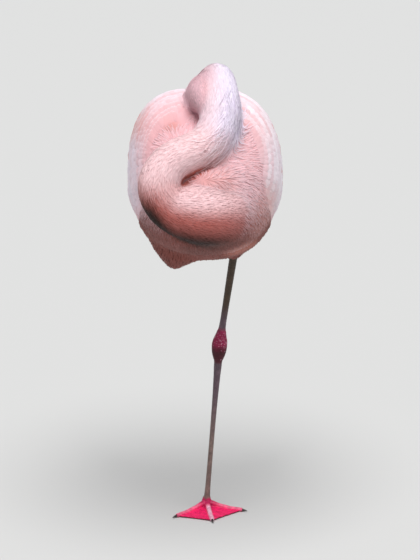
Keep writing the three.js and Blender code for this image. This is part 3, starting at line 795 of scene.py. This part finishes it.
def neck_pigment(points, index):
    """The neck's colour: salmon with painted shade below and to the left in its low bend, rose above it,
    lavender over the arch; its paler top is partly painted light.
    """
    t, line = NECK_T[index], NECK_LINE[index]
    rise = (points[:, 2] - line[:, 2]) / line[:, 3]
    beside = points[:, 0] - line[:, 0]
    turned = rise - 0.45 * eased(-50, -86, points[:, 0])
    return layered(
        NECK_SALMON,
        # Rose over the top and more salmon underneath, here and in the upper neck: partly the neck's own
        # colours, partly painted light from above
        (NECK_ROSE, eased(-0.15, 0.55, rise) * 0.9),
        # Painted shade on the underside and the left of the low bend
        (NECK_PAINTED_SHADE, eased(-0.15, -0.85, turned) * eased(5.5, 4.2, t)),
        (mixed(NECK_ROSE, NECK_SALMON, 0.5 * eased(-0.1, -0.8, rise)), eased(4.4, 6.0, t)),
        (NECK_LAVENDER, eased(8.2, 10.0, t) * (0.35 + 0.65 * eased(-12, 22, beside + 8))),
        (CHEEK, eased(11.0, 12.4, t) * eased(2, -18, beside) * 0.8))


def pigment(points, on_wing=False):
    """The plumage's colour at places on the bird, with painted shade in the slit under the neck's band, on the
    neck's underside and under the belly.
    """
    on_neck, index = neck_share(points)
    cheek = np.maximum(head_share(points), cheek_share(points) * eased(8, -14, points[:, 0]))
    return layered(
        body_pigment(points, on_wing), (neck_pigment(points, index), on_neck), (CHEEK, cheek * 0.9),
        # Painted shade in the slit between the neck's upper band and the breast
        (CREASE_PAINTED_SHADE, 0.9 * eased(11, 6, crease_gap(points))))


def plume_colour(speckle, tip, fringe=0.0, tip_colour=BACK_PALE, sharp=3, fade=0.45, on_wing=False):
    """Colours for feathers: the bird's own at their roots, uneven by speckle, paler at tip and rim."""
    def colour(roots, seeds, along, out):
        base = pigment(roots, on_wing)
        if on_wing:
            across, behind, over = body_frame(roots)
            edge = eased(70, 95, np.abs(across)) * 0.3 * eased(-30, 20, over) * eased(-60, -10, behind)
            dyed = (chance.random(len(roots)) < edge) * chance.uniform(0.3, 0.8, len(roots))
            base = mixed(base, WING_CORAL, dyed)
        base = np.clip(base * (1 + chance.normal(0, speckle, len(roots))[:, None]), 0, 1)[seeds]
        edge = np.clip(tip * along ** sharp + fringe * out ** 2 * along, 0, 1)
        return mixed(base, mixed(base, tip_colour, fade * eased(0.12, 0.6, base[:, 0])), edge)
    return colour


skin = body_skin()
blend(skin)
unwrap(skin)
dress(skin, DOWN, "plumage", "trunk", "wing_left", "wing_right", "head", "neck_1", "neck_2", "neck_3",
      "neck_4", "neck_5", "thigh_left", "thigh_right", colours=pigment(vertices_of(skin)))
surface = Surface(skin)

# ---- the coat ----
# the size of a feather on the bake map, and how far its root stands over the skin
PATCH = 0.0026
ROOT_LIFT = 0.3
# Cross sections of feathers: across in half widths, up in millimetres
FINE = ((-1, 0), (0, 0.14), (1, 0))
CUPPED = ((-1, -0.25), (-0.5, 0.05), (0, 0.2), (0.5, 0.05), (1, -0.25), (0, -0.12))
FLAT_VANE = ((-1, -0.3), (-0.5, -0.03), (0, 0.08), (0.5, -0.03), (1, -0.3), (0, -0.2))
VANE = ((-1, -0.4), (-0.5, 0.02), (0, 0.25), (0.5, 0.02), (1, -0.4), (0, -0.15))
# Widths of feathers from root to tip
NEEDLE = (0.55, 1.0, 0.75, 0.12)
ROUND_TIP = (0.45, 0.75, 0.92, 1.0, 1.0, 0.98, 0.84, 0.56, 0.14)
SPACING = 1.0


def plumage(name, lines, normals, faces, width, lift, profile, section, colour, slot, row=0):
    """One piece of closed blades along lines. Each has the bird's colour at the given row of its line."""
    points, along, out = vanes(lines, normals, width, lift, np.array(profile), section)
    per = len(profile) * len(section)
    shade = colour(lines[:, row], np.repeat(np.arange(len(lines)), per), along, out)
    patch = np.repeat(surface.unwrap[faces], per, axis=0) + np.stack([out - 0.5, along - 0.5], 1) * PATCH
    piece = tubes(name, points, len(profile), len(section), shade, patch)
    dress(piece, PLUME, slot)
    return piece


def lay(name, share, distance, length, width, height, profile, stray, colour, section=FINE, slot="plumage"):
    """A coat of feathers on chosen faces of the skin, combed over it and rising to their tips."""
    roots = surface.scattered(share.astype(float), distance * SPACING)
    length, width, height = (value * np.clip(chance.normal(1, spread, len(roots)), 0.6, 1.5)
                             for value, spread in ((length, 0.15), (width, 0.15), (height, 0.2)))
    lines, normals, faces = combed(roots, length, len(profile) - 1, stray)
    lift = ROOT_LIFT + (height - ROOT_LIFT)[:, None] * np.linspace(0, 1, len(profile)) ** 0.8
    plumage(name, lines, normals, faces, width, lift, profile, section, colour, slot)


def under_wing(points):
    """Whether places lie on the part of the body that a wing covers."""
    across, along, over = body_frame(points)
    half, top, high, low = stations(WING, np.clip(along, -110, 288))
    rise = over / np.where(over > 0, top, half)
    power = WING_SQUARENESS[1] / 2
    angle = np.degrees(np.arctan2((np.abs(across) / half).clip(0, 1) ** power,
                                  np.sign(over) * np.abs(rise).clip(0, 1) ** power))
    return ((along > -108) & (along < 286) & (angle > high - 1) & (angle < low + 1)
            & (np.hypot(across / half, rise) > 0.8))


middle = surface.middle
_, face_along, face_over = body_frame(middle)
on_neck, neck_index = neck_share(middle)
on_head = head_share(middle)
neck_t, neck_line = NECK_T[neck_index], NECK_LINE[neck_index]
clear_of_slit = crease_gap(middle) > CREASE_BARE
neck_faces = (np.maximum(on_neck, on_head) > 0.5) & clear_of_slit
head_faces = (on_head > 0.5) | ((cheek_share(middle) > 0.4) & (middle[:, 0] < 2))
body_faces = ~neck_faces & ~under_wing(middle) & clear_of_slit
shoulder = body_faces & (face_along < -50) & (face_over > 0)
loose = (neck_faces & ~head_faces & (neck_t > 8.0) & (neck_t < 11.5) & (middle[:, 0] > neck_line[:, 0] + 6)
         & (middle[:, 1] < neck_line[:, 1] + 12))
for label, first, last, tint, height in (
        ("low", 0, 190, NECK_ROSE, 1.0),
        ("middle", 190, 300, NECK_ROSE, 0.75),
        ("high", 300, 999, BACK_PALE, 0.6)):
    faces = neck_faces & (neck_index >= first) & (neck_index < last) & ~head_faces
    lay("neck_coat_" + label, faces, 1.9, 10, 1.7, height, NEEDLE, 0.12,
        plume_colour(0.06, 0.35, tip_colour=tint), slot="neck_plumage")
lay("head_coat", head_faces, 1.6, 5.0, 1.3, 0.7, NEEDLE, 0.15, plume_colour(0.09, 0.25))
lay("neck_plumes", loose, 3.6, 24, 1.2, 3.4, (0.4, 0.9, 1.0, 0.9, 0.7, 0.4, 0.1), 0.28,
    plume_colour(0.12, 0.7, tip_colour=SNOW, fade=1.0), slot="neck_plumage")
lay("shoulder_coat", shoulder & (cheek_share(middle) < 0.2), 2.3, 13, 2.4, 0.7,
    (0.45, 0.85, 1.0, 0.95, 0.7, 0.15), 0.1, plume_colour(0.05, 0.6, fade=0.8), CUPPED)
lay("breast_coat", body_faces & ~shoulder & (face_along < -40), 2.15, 16, 1.7, 1.1,
    (0.5, 1.0, 0.95, 0.6, 0.1), 0.15, plume_colour(0.08, 0.75, sharp=2, fade=0.7))
lay("belly_coat", body_faces & ~shoulder & (face_along >= -40), 2.9, 16, 2.5, 2.2, (0.5, 1.0, 0.85, 0.1),
    0.13, plume_colour(0.05, 0.3))

# ---- the wings' feathers ----
WING_END = 287
FEATHERS_END = 300
# along the body's axis, and the distance between the rows of feathers there
COVERTS = ([-108, -85, -60, 30, 140, 270], [5.0, 7.0, 9.5, 13.5, 16.5, 16.5])
# how far apart the feathers of a row are, as a share of the distance between rows
PACK = 0.62
WING_ARC = 110


def beyond_wing(side, u, angle, out=-BODY_COAT):
    """A place on the wing's outside, carried on straight behind its last station."""
    behind = np.maximum(u - WING_END, 0)
    return wing_place(side, np.minimum(u, WING_END), angle, out) + behind[..., None] * BODY_AXIS


def wing_lines(side, u0, share, length, sway, steps, high_lift):
    """Centre lines, normals and lifts of feathers on a wing, from each root towards the wing's tip."""
    t = 1 - (1 - np.linspace(0, 1, steps + 1)) ** 1.5
    u = u0[:, None] + length[:, None] * t
    q = share[:, None] + sway[:, None] * t
    _, _, high, low = stations(WING, u0)
    root_angle = (high + (low - high) * share)[:, None]
    follow = eased(40, 150, u0)[:, None]

    def at(u, q):
        _, _, high, low = stations(WING, np.minimum(u, WING_END))
        straight = root_angle + WING_ARC * (q - share[:, None])
        return beyond_wing(side, u, np.radians(straight * (1 - follow) + (high + (low - high) * q) * follow))

    base = at(u, q)
    normal = unit(np.cross(at(u, q + 0.01) - base, at(u + 1, q) - base)) * side
    edge = 0.25 + 0.75 * np.maximum(eased(1.0, 0.86, share), eased(0, 60, u0))
    lift = 0.2 + ((high_lift - 0.2) * edge)[:, None] * t ** 0.7
    found, facing, _ = surface.nearest(base.reshape(-1, 3))
    found, facing = found.reshape(base.shape), facing.reshape(base.shape)
    snug = eased(14, 9, lengths(found - base)) * eased(262, 235, u)
    return mixed(base, found, snug), unit(mixed(normal, facing, snug)), lift


def wing_rows(side, first, last):
    """Roots in staggered rows: place along the body, share of the way down the wing, and size."""
    rows, u, odd = [], first, 0
    q = np.linspace(0.0, 1.0, 240)
    while u < last:
        size = float(np.interp(u, *COVERTS))
        _, _, high, low = stations(WING, np.full(len(q), u))
        edge = wing_place(side, np.full(len(q), u), np.radians(high + (low - high) * q), -BODY_COAT)
        run = run_along(edge)
        places = (np.arange(int(run[-1] / (size * PACK)) + 1) + 0.5 * odd) * size * PACK
        places = places[places <= run[-1]]
        rows.append(np.stack(np.broadcast_arrays(u, np.interp(places, run, q), size)))
        u, odd = u + size, 1 - odd
    return np.concatenate(rows, axis=1)


def wing_feathers(name, side, roots, stretch, breadth, high_lift, colour, section):
    u, q, size = roots
    n = len(u)
    u = u + chance.normal(0, 0.06, n) * size
    q = q + chance.normal(0, 0.002, n)
    shorter = 0.5 + 0.5 * eased(-112, -60, u)
    length = np.minimum(size * stretch * shorter * chance.normal(1, 0.04, n), FEATHERS_END - u)
    width = size * breadth * chance.normal(1, 0.05, n)
    sway = chance.normal(0, 0.012, n)
    base, normal, lift = wing_lines(side, u, q, length, sway, len(ROUND_TIP) - 1,
                                    high_lift * shorter * chance.normal(1, 0.08, n))
    _, gap = nearest_neck(base[:, 0])
    shown = (gap >= -2) & (head_share(base[:, 0]) <= 0.9) & (cheek_share(base).max(1) <= 0.6)
    base = base[shown]
    plumage(name, base, normal[shown], surface.nearest(base[:, 0])[2], width[shown], lift[shown], ROUND_TIP,
            section, colour, "wing_plumage", 2)


for side, label in ((1, "left"), (-1, "right")):
    for part, first, last, stretch, breadth, high_lift, section, tints in (
            ("wing_shoulder_", -108, -26, 3.4, 1.5, 3.0, FLAT_VANE, (0.03, 0.75)),
            ("wing_coverts_", -26, 262, 3.2, 1.05, 3.6, VANE, (0.04, 0.7, 0.15))):
        wing_feathers(part + label, side, wing_rows(side, first, last), stretch, breadth, high_lift,
                      plume_colour(*tints, tip_colour=SNOW, sharp=5, fade=1.0, on_wing=True), section)

# ---- flight and tail feathers ----
# along the body's axis: distance inside the wing's outside, thickness, and the angles of both edges
PRIMARIES = np.array([
    (170, 24, 5, 62, 104), (240, 12, 3.6, 40, 92), (284, 7, 2.4, 34, 78), (302, 5, 1.2, 42, 62)])
LONG_ROWS = 14
FLIGHT_COUNT, FLIGHT_WIDTH = 8, 15.0
TAIL_COUNT, TAIL_WIDTH = 12, 13.0
# where both fans begin and end along the body's axis, and the step from tip to tip of the flight feathers
FLIGHT_START, FLIGHT_STEP = 168, 5.5
TAIL_START, TAIL_END = 150, 284


def long_feathers(name, base, normal, width, colour, slot, node):
    """A fan of long closed vanes from centre lines, each over the last."""
    count = len(base)
    profile = np.interp(np.linspace(0, 1, LONG_ROWS), [0, 0.1, 0.5, 0.85, 0.95, 1],
                        [0.4, 0.75, 1, 0.9, 0.6, 0.15])
    piece = plumage(name, base, normal, surface.nearest(base[:, 0])[2], np.full(count, width),
                    np.arange(count)[:, None] * 0.35, profile, VANE, colour, slot, 2)
    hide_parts(node)


def ink(roots, seeds, along, out):
    return mixed(INK, INK_EDGE, 0.5 * out ** 2)


for side, label in ((1, "left"), (-1, "right")):
    q = np.linspace(0.96, 0.06, FLIGHT_COUNT)[:, None]
    ends = FEATHERS_END - FLIGHT_STEP * np.arange(FLIGHT_COUNT)[::-1]
    u = FLIGHT_START + (ends - FLIGHT_START)[:, None] * np.linspace(0, 1, LONG_ROWS)
    inside, _, high, low = stations(PRIMARIES, u)
    angle = np.radians(high + (low - high) * (0.1 + 0.8 * q))
    base = beyond_wing(side, u, angle, 0)
    outward = unit(beyond_wing(side, u, angle, 1) - base)
    long_feathers("flight_feathers_" + label, base - outward * (inside + 1)[..., None], outward,
                  FLIGHT_WIDTH, ink, "flight_feathers", "primaries_" + label)

q = np.linspace(-0.9, 0.9, TAIL_COUNT)
q = q[np.argsort(-np.abs(q))][:, None]
u = TAIL_START + (TAIL_END - 10 * np.abs(q) ** 2 - TAIL_START) * np.linspace(0, 1, LONG_ROWS)
half, thick, over = stations(TAIL, u)
base = body_place(half * q, u, over - 3 * q ** 2 + thick * np.sqrt(1 - q ** 2) - 1.5)
long_feathers("tail_feathers", base, np.broadcast_to(BODY_UP, base.shape), TAIL_WIDTH,
              plume_colour(0.05, 0.3, 0.3), "plumage", "tail")


# ---- legs and foot ----
# along the leg from the middle of the ankle: half width, half depth
LEG = np.array([
    (-255, 5.4, 6.0), (-244, 4.6, 5.4), (-225, 3.9, 5.2), (-150, 3.7, 4.9), (-90, 4.2, 5.2), (-50, 5.2, 6.0),
    (-34, 6.0, 6.6), (-26, 6.4, 7.6), (-14, 10.0, 10.6), (-4, 11.5, 11.8), (6, 11.0, 11.2), (18, 8.0, 8.6),
    (29, 5.6, 6.0), (45, 4.9, 5.4), (110, 5.6, 6.2), (190, 6.4, 7.0)], float)
TOE_END_HEIGHT = 3.4
ANKLE_SCALE = 0.8
SCALE_SIDES = 6
# the distance between rows of scales, and between the scales of a row
SCALE_ROWS, SCALE_GAP = 1.75, 1.9
SCALE_PATCH = 0.0014
WEB_THICKNESS = 1.7
FOOT_VOXEL = 0.7


def limb_frames(line):
    """Directions along a line of places, to its side and to its front."""
    ahead = unit(np.gradient(line, axis=0))
    side = unit(np.array([1.0, 0, 0]) - ahead * ahead[:, :1])
    return ahead, side, np.cross(ahead, side)


def limb_rings(line, wide, deep, count, ridge=0.0, pitch=5.0):
    """Rings round a line; ridge is how far the scutes' lower rims stand out, pitch their height."""
    _, side, front = limb_frames(line)
    angle = turns(count)
    rim = ridge * (1 - (run_along(line) / pitch) % 1.0) ** 2
    rim = rim[:, None] * np.clip(0.6 - 0.7 * np.sin(angle), 0, 1)
    return (line[:, None] + ((wide[:, None] + rim) * np.cos(angle))[..., None] * side[:, None]
            + ((deep[:, None] + rim) * np.sin(angle))[..., None] * front[:, None])


def leg_line(foot, ankle, top, count):
    """Places from the foot over the ankle to the top, with the run from the ankle in millimetres."""
    shank = lengths(ankle - foot)
    tibia = lengths(top - ankle)
    run = np.linspace(0, shank + tibia, count)[:, None]
    low = foot + (ankle - foot) * (run / shank)
    high = ankle + (top - ankle) * ((run - shank) / tibia)
    return np.where(run < shank, low, high), run[:, 0] - shank


def leg_pigment(run):
    """The colour of the leg's skin along its run, with the body's painted shadow at the top of the tibia and
    painted shade under the ankle's joint.
    """
    joint = eased(-31, -26, run) * eased(33, 24, run)
    return layered(
        # painted shadow of the body, darkening the tibia towards its top
        LILAC, (GREY, eased(40, 75, run)), (TIBIA_PAINTED_SHADOW, 0.8 * eased(90, 170, run)), (TAN, eased(-60, -170, run)),
        # painted shade on the lower half of the ankle's joint
        (CRIMSON, eased(-245, -252, run)), (mixed(JOINT_PAINTED_SHADE, CRIMSON, eased(-12, 8, run)), joint))


def leg_skin(name, foot, ankle, top, low, *nodes):
    """A leg from low, which is counted from its ankle, to its top, in one skin with ridged scutes."""
    line, run = leg_line(foot, ankle, top, 260)
    line, run = line[run > low], run[run > low]
    bend = np.exp(-(run / 9) ** 2)[:, None]
    for _ in range(3):
        soft = np.concatenate([line[:1], (line[:-2] + line[1:-1] * 2 + line[2:]) / 4, line[-1:]])
        line = line * (1 - bend) + soft * bend
    piece = drawn_out(name, limb_rings(line, *stations(LEG, run), 24, 0.35, 4.6))
    nearest = lengths(vertices_of(piece)[:, None] - line).argmin(1)
    dress(piece, LEG_FINISH, "leg_skin", *nodes, colours=leg_pigment(run[nearest]), crease=50)


def ankle_scales(name, foot, ankle, top):
    """Low domes in staggered rows round the ankle, some of them pale."""
    line, run = leg_line(foot, ankle, top, 900)
    ahead, side, front = limb_frames(line)
    wide, deep = stations(LEG, run)
    rows = []
    for odd, level in enumerate(np.arange(-22, 25, SCALE_ROWS)):
        i = int(np.abs(run - level).argmin())
        count = int(2 * math.pi * wide[i] / SCALE_GAP)
        rows.append(np.stack([np.full(count, i), (np.arange(count) + 0.5 * (odd % 2)) * 2 * math.pi / count]))
    index, angle = np.concatenate(rows, axis=1)
    index, n = index.astype(int), len(angle)
    level, wide, deep = run[index], wide[index, None], deep[index, None]
    to_side, to_front = side[index] * np.cos(angle)[:, None], front[index] * np.sin(angle)[:, None]
    normal = unit(to_side / wide + to_front / deep)
    centre = line[index] + to_side * wide + to_front * deep
    ahead = ahead[index]
    across = np.cross(normal, ahead)
    size = ANKLE_SCALE * chance.normal(1, 0.15, n).clip(0.6, 1.4)
    turn = turns(SCALE_SIDES)
    round_about = across[:, None] * np.cos(turn)[:, None] + ahead[:, None] * np.sin(turn)[:, None]
    points = np.stack([round_about * (size * spread)[:, None, None] + (centre + normal * rise)[:, None]
                       for spread, rise in ((1.0, -0.25), (0.55, 0.4))], 1).reshape(-1, 3)
    pale = (chance.random(n) < 0.3 * eased(-4, 8, level) + 0.04) * chance.uniform(0.4, 0.8, n)
    shade = mixed(leg_pigment(level) * chance.normal(1, 0.15, n).clip(0.6, 1.4)[:, None], TOE_PALE, pale)
    spot = np.stack([np.cos(turn), np.sin(turn)], -1)
    patch = np.stack([angle / (2 * math.pi), (level + 30) / 60], -1)[:, None] + np.concatenate(
        [spot, spot * 0.5]) * SCALE_PATCH
    shade = np.repeat(shade, 2 * SCALE_SIDES, axis=0)
    dress(tubes(name, points, 2, SCALE_SIDES, shade, patch.reshape(-1, 2)), LEG_FINISH, "joint_skin")


leg_skin("leg_standing", TOE_JOINT, ANKLE, TIBIA_TOP, -250, "shank_left", "tibia_left", "ankle_left")
ankle_scales("ankle_scales_left", TOE_JOINT, ANKLE, TIBIA_TOP)
leg_skin("leg_raised", RAISED_SHANK_END, RAISED_ANKLE + np.array([0, 0, 4.0]), RAISED_TIBIA_TOP, -215,
         "shank_right", "tibia_right", "ankle_right")


def toe_line(tip, count):
    t = np.linspace(0, 1, count)
    height = TOE_END_HEIGHT + (TOE_JOINT[2] - TOE_END_HEIGHT) * (1 - t) ** 2.2
    return np.stack([tip[0] * t, tip[1] * t, height], -1)


def toe_form(tip):
    t = np.linspace(0, 1, 60)
    swell = 0.35 * np.sin(t * math.pi * 3) ** 2
    rings = limb_rings(toe_line(tip, 60), 4.8 - 1.9 * t + swell, 4.4 - 1.6 * t + swell, 18, 0.3, 3.2)
    rings[..., 2] = np.maximum(rings[..., 2], 0.3)
    return drawn_out("toe_form", rings)


def pad_form():
    rings = []
    for t in np.linspace(0, 1, 14):
        radius = 9.4 * (1 - 0.42 * t ** 1.6) * (1 + 0.06 * np.cos(3 * turns(24) + 4 * t))
        rings.append(level_ring((0.4 * t, 1.5 - t, 0.4 + 21 * t), radius, radius, 24))
    return drawn_out("pad_form", rings)


def web_form(first, second):
    """A web between two toes, hollow along its front edge and slack in the middle."""
    pick()
    bpy.ops.mesh.primitive_grid_add(x_subdivisions=30, y_subdivisions=30, size=2)
    web = bpy.context.object
    first, second = toe_line(first, 200), toe_line(second, 200)
    for vert in web.data.vertices:
        s, w = (vert.co.x + 1) / 2, (vert.co.y + 1) / 2
        sag = math.sin(math.pi * w)
        i = int((0.06 + 0.925 * s) * (1 - 0.035 * sag) * 199)
        x, y, z = first[i] * (1 - w) + second[i] * w
        z += -0.3 * z * sag + 0.35 * math.sin(w * 26 + s * 2) * sag
        vert.co = (x * MM, y * MM, max(z, 1.2) * MM)
    apply_modifier(web, "SOLIDIFY", thickness=WEB_THICKNESS * MM, offset=0.0)
    return web


def foot_skin():
    """Toes, pad and webs in one skin, paler along the toes and darker towards the leg."""
    pieces = [toe_form(tip) for tip in TOE_TIPS.values()] + [pad_form()]
    pieces += [web_form(TOE_TIPS[a], TOE_TIPS[b]) for a, b in (("inner", "middle"), ("middle", "outer"))]
    foot = joined("foot_skin", pieces)
    at_origin(foot)
    apply_modifier(foot, "REMESH", mode="VOXEL", voxel_size=FOOT_VOXEL * MM, adaptivity=0.0)
    apply_modifier(foot, "SMOOTH", factor=0.5, iterations=3)
    places = vertices_of(foot)
    from_leg = np.hypot(places[:, 0], places[:, 1])
    colour = WEB_RED
    for name, tip in TOE_TIPS.items():
        gap = lengths(places[:, None, :2] - toe_line(tip, 60)[None, :, :2]).min(1)
        pale = 0.9 if name == "middle" else 0.25
        colour = mixed(colour, TOE_PALE, pale * eased(4.5, 2.4, gap) * eased(10, 22, from_leg))
    colour = layered(colour, (CRIMSON, 0.7 * eased(20, 9, from_leg)), (TAN, eased(17.5, 22, places[:, 2])))
    dress(foot, WEB_FINISH, "web_skin", "foot_pad", "toe_inner", "toe_middle", "toe_outer", "web_inner",
          "web_outer", colours=colour)


foot_skin()

# ---- bill ----
BILL_ROWS = 60


def bill_half(name, upper, slot, node):
    """One half of the bill, closed by its gape, black at the tip and, above, with a nostril on each side."""
    line = curve(BILL, np.linspace(0, len(BILL) - 1, BILL_ROWS))
    low, high = (-GAPE, GAPE) if upper else (GAPE + 0.05, 2 * math.pi - GAPE - 0.05)
    angle = np.linspace(low, high, 17)
    rings = []
    for (f, g, half, tall), (df, dg) in zip(line, unit(np.gradient(line[:, :2], axis=0))):
        up = max(tall, 0.6) * np.cos(angle)
        rings.append(head_place(f - dg * up, max(half, 0.6) * np.sin(angle), g + df * up))
    piece = drawn_out(name, rings)
    local = (vertices_of(piece) - HEAD_CENTRE) @ HEAD_TURN
    nearest = lengths(local[:, None, 1:] - line[None, :, :2]).argmin(1)
    place = nearest / (BILL_ROWS - 1)
    colour = mixed(BONE_PINK, BILL_BLACK, eased(0.47, 0.55, place))
    if upper:
        height = lengths(local[:, 1:] - line[nearest, :2]) / line[nearest, 3]
        nostril = np.hypot((place - 0.2) / 0.07, (height - 0.62) / 0.16)
        colour = mixed(colour, NOSTRIL, 0.85 * eased(1.2, 0.7, nostril))
    dress(piece, HORN, slot, node, colours=colour, crease=60)


bill_half("bill_upper_horn", True, "bill_horn", "bill_upper")
bill_half("bill_lower_horn", False, "bill_black", "bill_lower")

# ---- eyes ----
LID_DEPTH = 0.55
# how far each lid's edge is turned from the eye's middle, in degrees
LIDS = (("upper", 14, True), ("lower", -22, False))


def turned_out(side):
    """An eye's middle and its directions: outwards, up and forwards."""
    f, out, g = EYE_PLACE
    spot = head_place(f, side * out, g)
    outward = unit(head_place(f, side * (out + 10), g + 1.5) - spot)
    up = head_place(f, side * out, g + 10) - spot
    up = unit(up - outward * (up @ outward))
    return spot, outward, up, np.cross(up, outward)


def ball(name, side, radius, rings):
    pick()
    bpy.ops.mesh.primitive_uv_sphere_add(segments=40, ring_count=rings, radius=radius * MM)
    piece = bpy.context.object
    piece.name = piece.data.name = name
    spot, outward, up, ahead = turned_out(side)
    for vert in piece.data.vertices:
        x, y, z = vert.co
        vert.co = spot * MM + outward * z + up * y + ahead * x
    at_origin(piece)
    return piece


def eye(side, label):
    """An eyeball with a rayed iris between two nearly closed lids."""
    spot, outward, up, ahead = turned_out(side)
    globe = ball("eyeball_" + label, side, EYE_RADIUS, 26)
    away = (vertices_of(globe) - spot) / EYE_RADIUS
    angle = np.degrees(np.arccos(np.clip(away @ outward, -1, 1)))
    colour = mixed(IRIS, IRIS_RAY, 0.5 + 0.5 * np.sin(np.arctan2(away @ up, away @ ahead) * 24))
    colour = mixed(colour, PUPIL, np.maximum(eased(27, 23, angle), eased(52, 60, angle)))
    dress(globe, EYE_GLOSS, "eye", "eye_" + label, colours=colour)
    for name, tilt, above in LIDS:
        lid = ball(name + "_lid_" + label, side, EYE_RADIUS + LID_DEPTH, 30)
        edge = unit(up * math.cos(math.radians(tilt)) - outward * math.sin(math.radians(tilt)))
        pick(lid)
        bpy.ops.object.mode_set(mode="EDIT")
        bpy.ops.mesh.select_all(action="SELECT")
        bpy.ops.mesh.bisect(plane_co=spot * MM, plane_no=edge, use_fill=True, clear_inner=above,
                            clear_outer=not above)
        bpy.ops.object.mode_set(mode="OBJECT")
        dress(lid, LEG_FINISH, "eye", colours=EYELID, crease=40)


eye(1, "left")
eye(-1, "right")

# ---- claws and hind toe ----
CLAW_LENGTH, CLAW_RADIUS = 9.0, 2.1


def claw(name, tip):
    ahead = unit(np.array([tip[0], tip[1], 0.0]))
    t = np.linspace(0, 1, 12)
    line = np.array([tip[0], tip[1], 3.0]) - ahead * 1.2 + ahead * (CLAW_LENGTH * t)[:, None]
    line[:, 2] = np.maximum(line[:, 2] - 1.1 * t ** 2, 0.45 + CLAW_RADIUS * (1 - t))
    wide = CLAW_RADIUS * (1 - 0.82 * t ** 1.3)
    piece = drawn_out("claw_of_" + name + "_toe", limb_rings(line, wide, wide * 1.15, 12))
    for vert in piece.data.vertices:
        vert.co.z = max(vert.co.z, 0.1 * MM)
    dress(piece, HORN, "claw_horn", "claw_" + name, colours=CLAW, crease=50)


for name, tip in TOE_TIPS.items():
    claw(name, tip)
t = np.linspace(0, 1, 24)
line = np.array([0.4, 5.0, 23.0]) + np.outer(t, [0.6, 13.5, -9.0])
line[:, 2] += np.sin(t * math.pi)
hind = drawn_out("hind_toe", limb_rings(line, 2.5 - 1.0 * t, 2.6 - 1.1 * t, 14, 0.2, 2.6))
dress(hind, LEG_FINISH, "leg_skin", "toe_hind", colours=mixed(CRIMSON, TAN, 0.4), crease=50)

# ---- setting ----
FLOOR_COLOUR = (0.58, 0.58, 0.57, 1)
SKY_COLOUR, SKY_STRENGTH = (0.93, 0.95, 1.0, 1), 0.3
SUN_STRENGTH, SUN_ANGLE, SUN_DIRECTION = 3.4, 50, Vector((-0.04, 0.32, -1.0))
CAMERA_LENS, CAMERA_PLACE, CAMERA_AIM = 188, Vector((0.0053, -4.347, 1.545)), Vector((0.0053, 0, 0.3730))


def placed(name, data, direction):
    """A lamp or camera in the scene, turned to look in a direction."""
    thing = bpy.data.objects.new(name, data)
    bpy.context.scene.collection.objects.link(thing)
    thing.rotation_euler = direction.to_track_quat("-Z", "Y").to_euler()
    return thing


def studio():
    pick()
    bpy.ops.mesh.primitive_plane_add(size=40, location=(0, 6, 0))
    floor = bpy.context.object
    floor.name = "studio_floor"
    at_origin(floor)
    material = bpy.data.materials.new("floor")
    material.use_nodes = True
    shader = material.node_tree.nodes["Principled BSDF"]
    set_inputs(material, shader, {"Base Color": FLOOR_COLOUR, "Roughness": 0.9})
    floor.data.materials.append(material)

    scene = bpy.context.scene
    scene.world = bpy.data.worlds.new("studio")
    scene.world.use_nodes = True
    sky = scene.world.node_tree.nodes["Background"]
    sky.inputs["Color"].default_value = SKY_COLOUR
    sky.inputs["Strength"].default_value = SKY_STRENGTH

    sun = bpy.data.lights.new("overcast", "SUN")
    sun.energy = SUN_STRENGTH
    sun.angle = math.radians(SUN_ANGLE)
    placed("overcast", sun, SUN_DIRECTION)

    camera = bpy.data.cameras.new("view")
    camera.lens = CAMERA_LENS
    camera.sensor_width = 36
    scene.camera = placed("view", camera, CAMERA_AIM - CAMERA_PLACE)
    scene.camera.location = CAMERA_PLACE
    scene.view_settings.view_transform = "Standard"


studio()
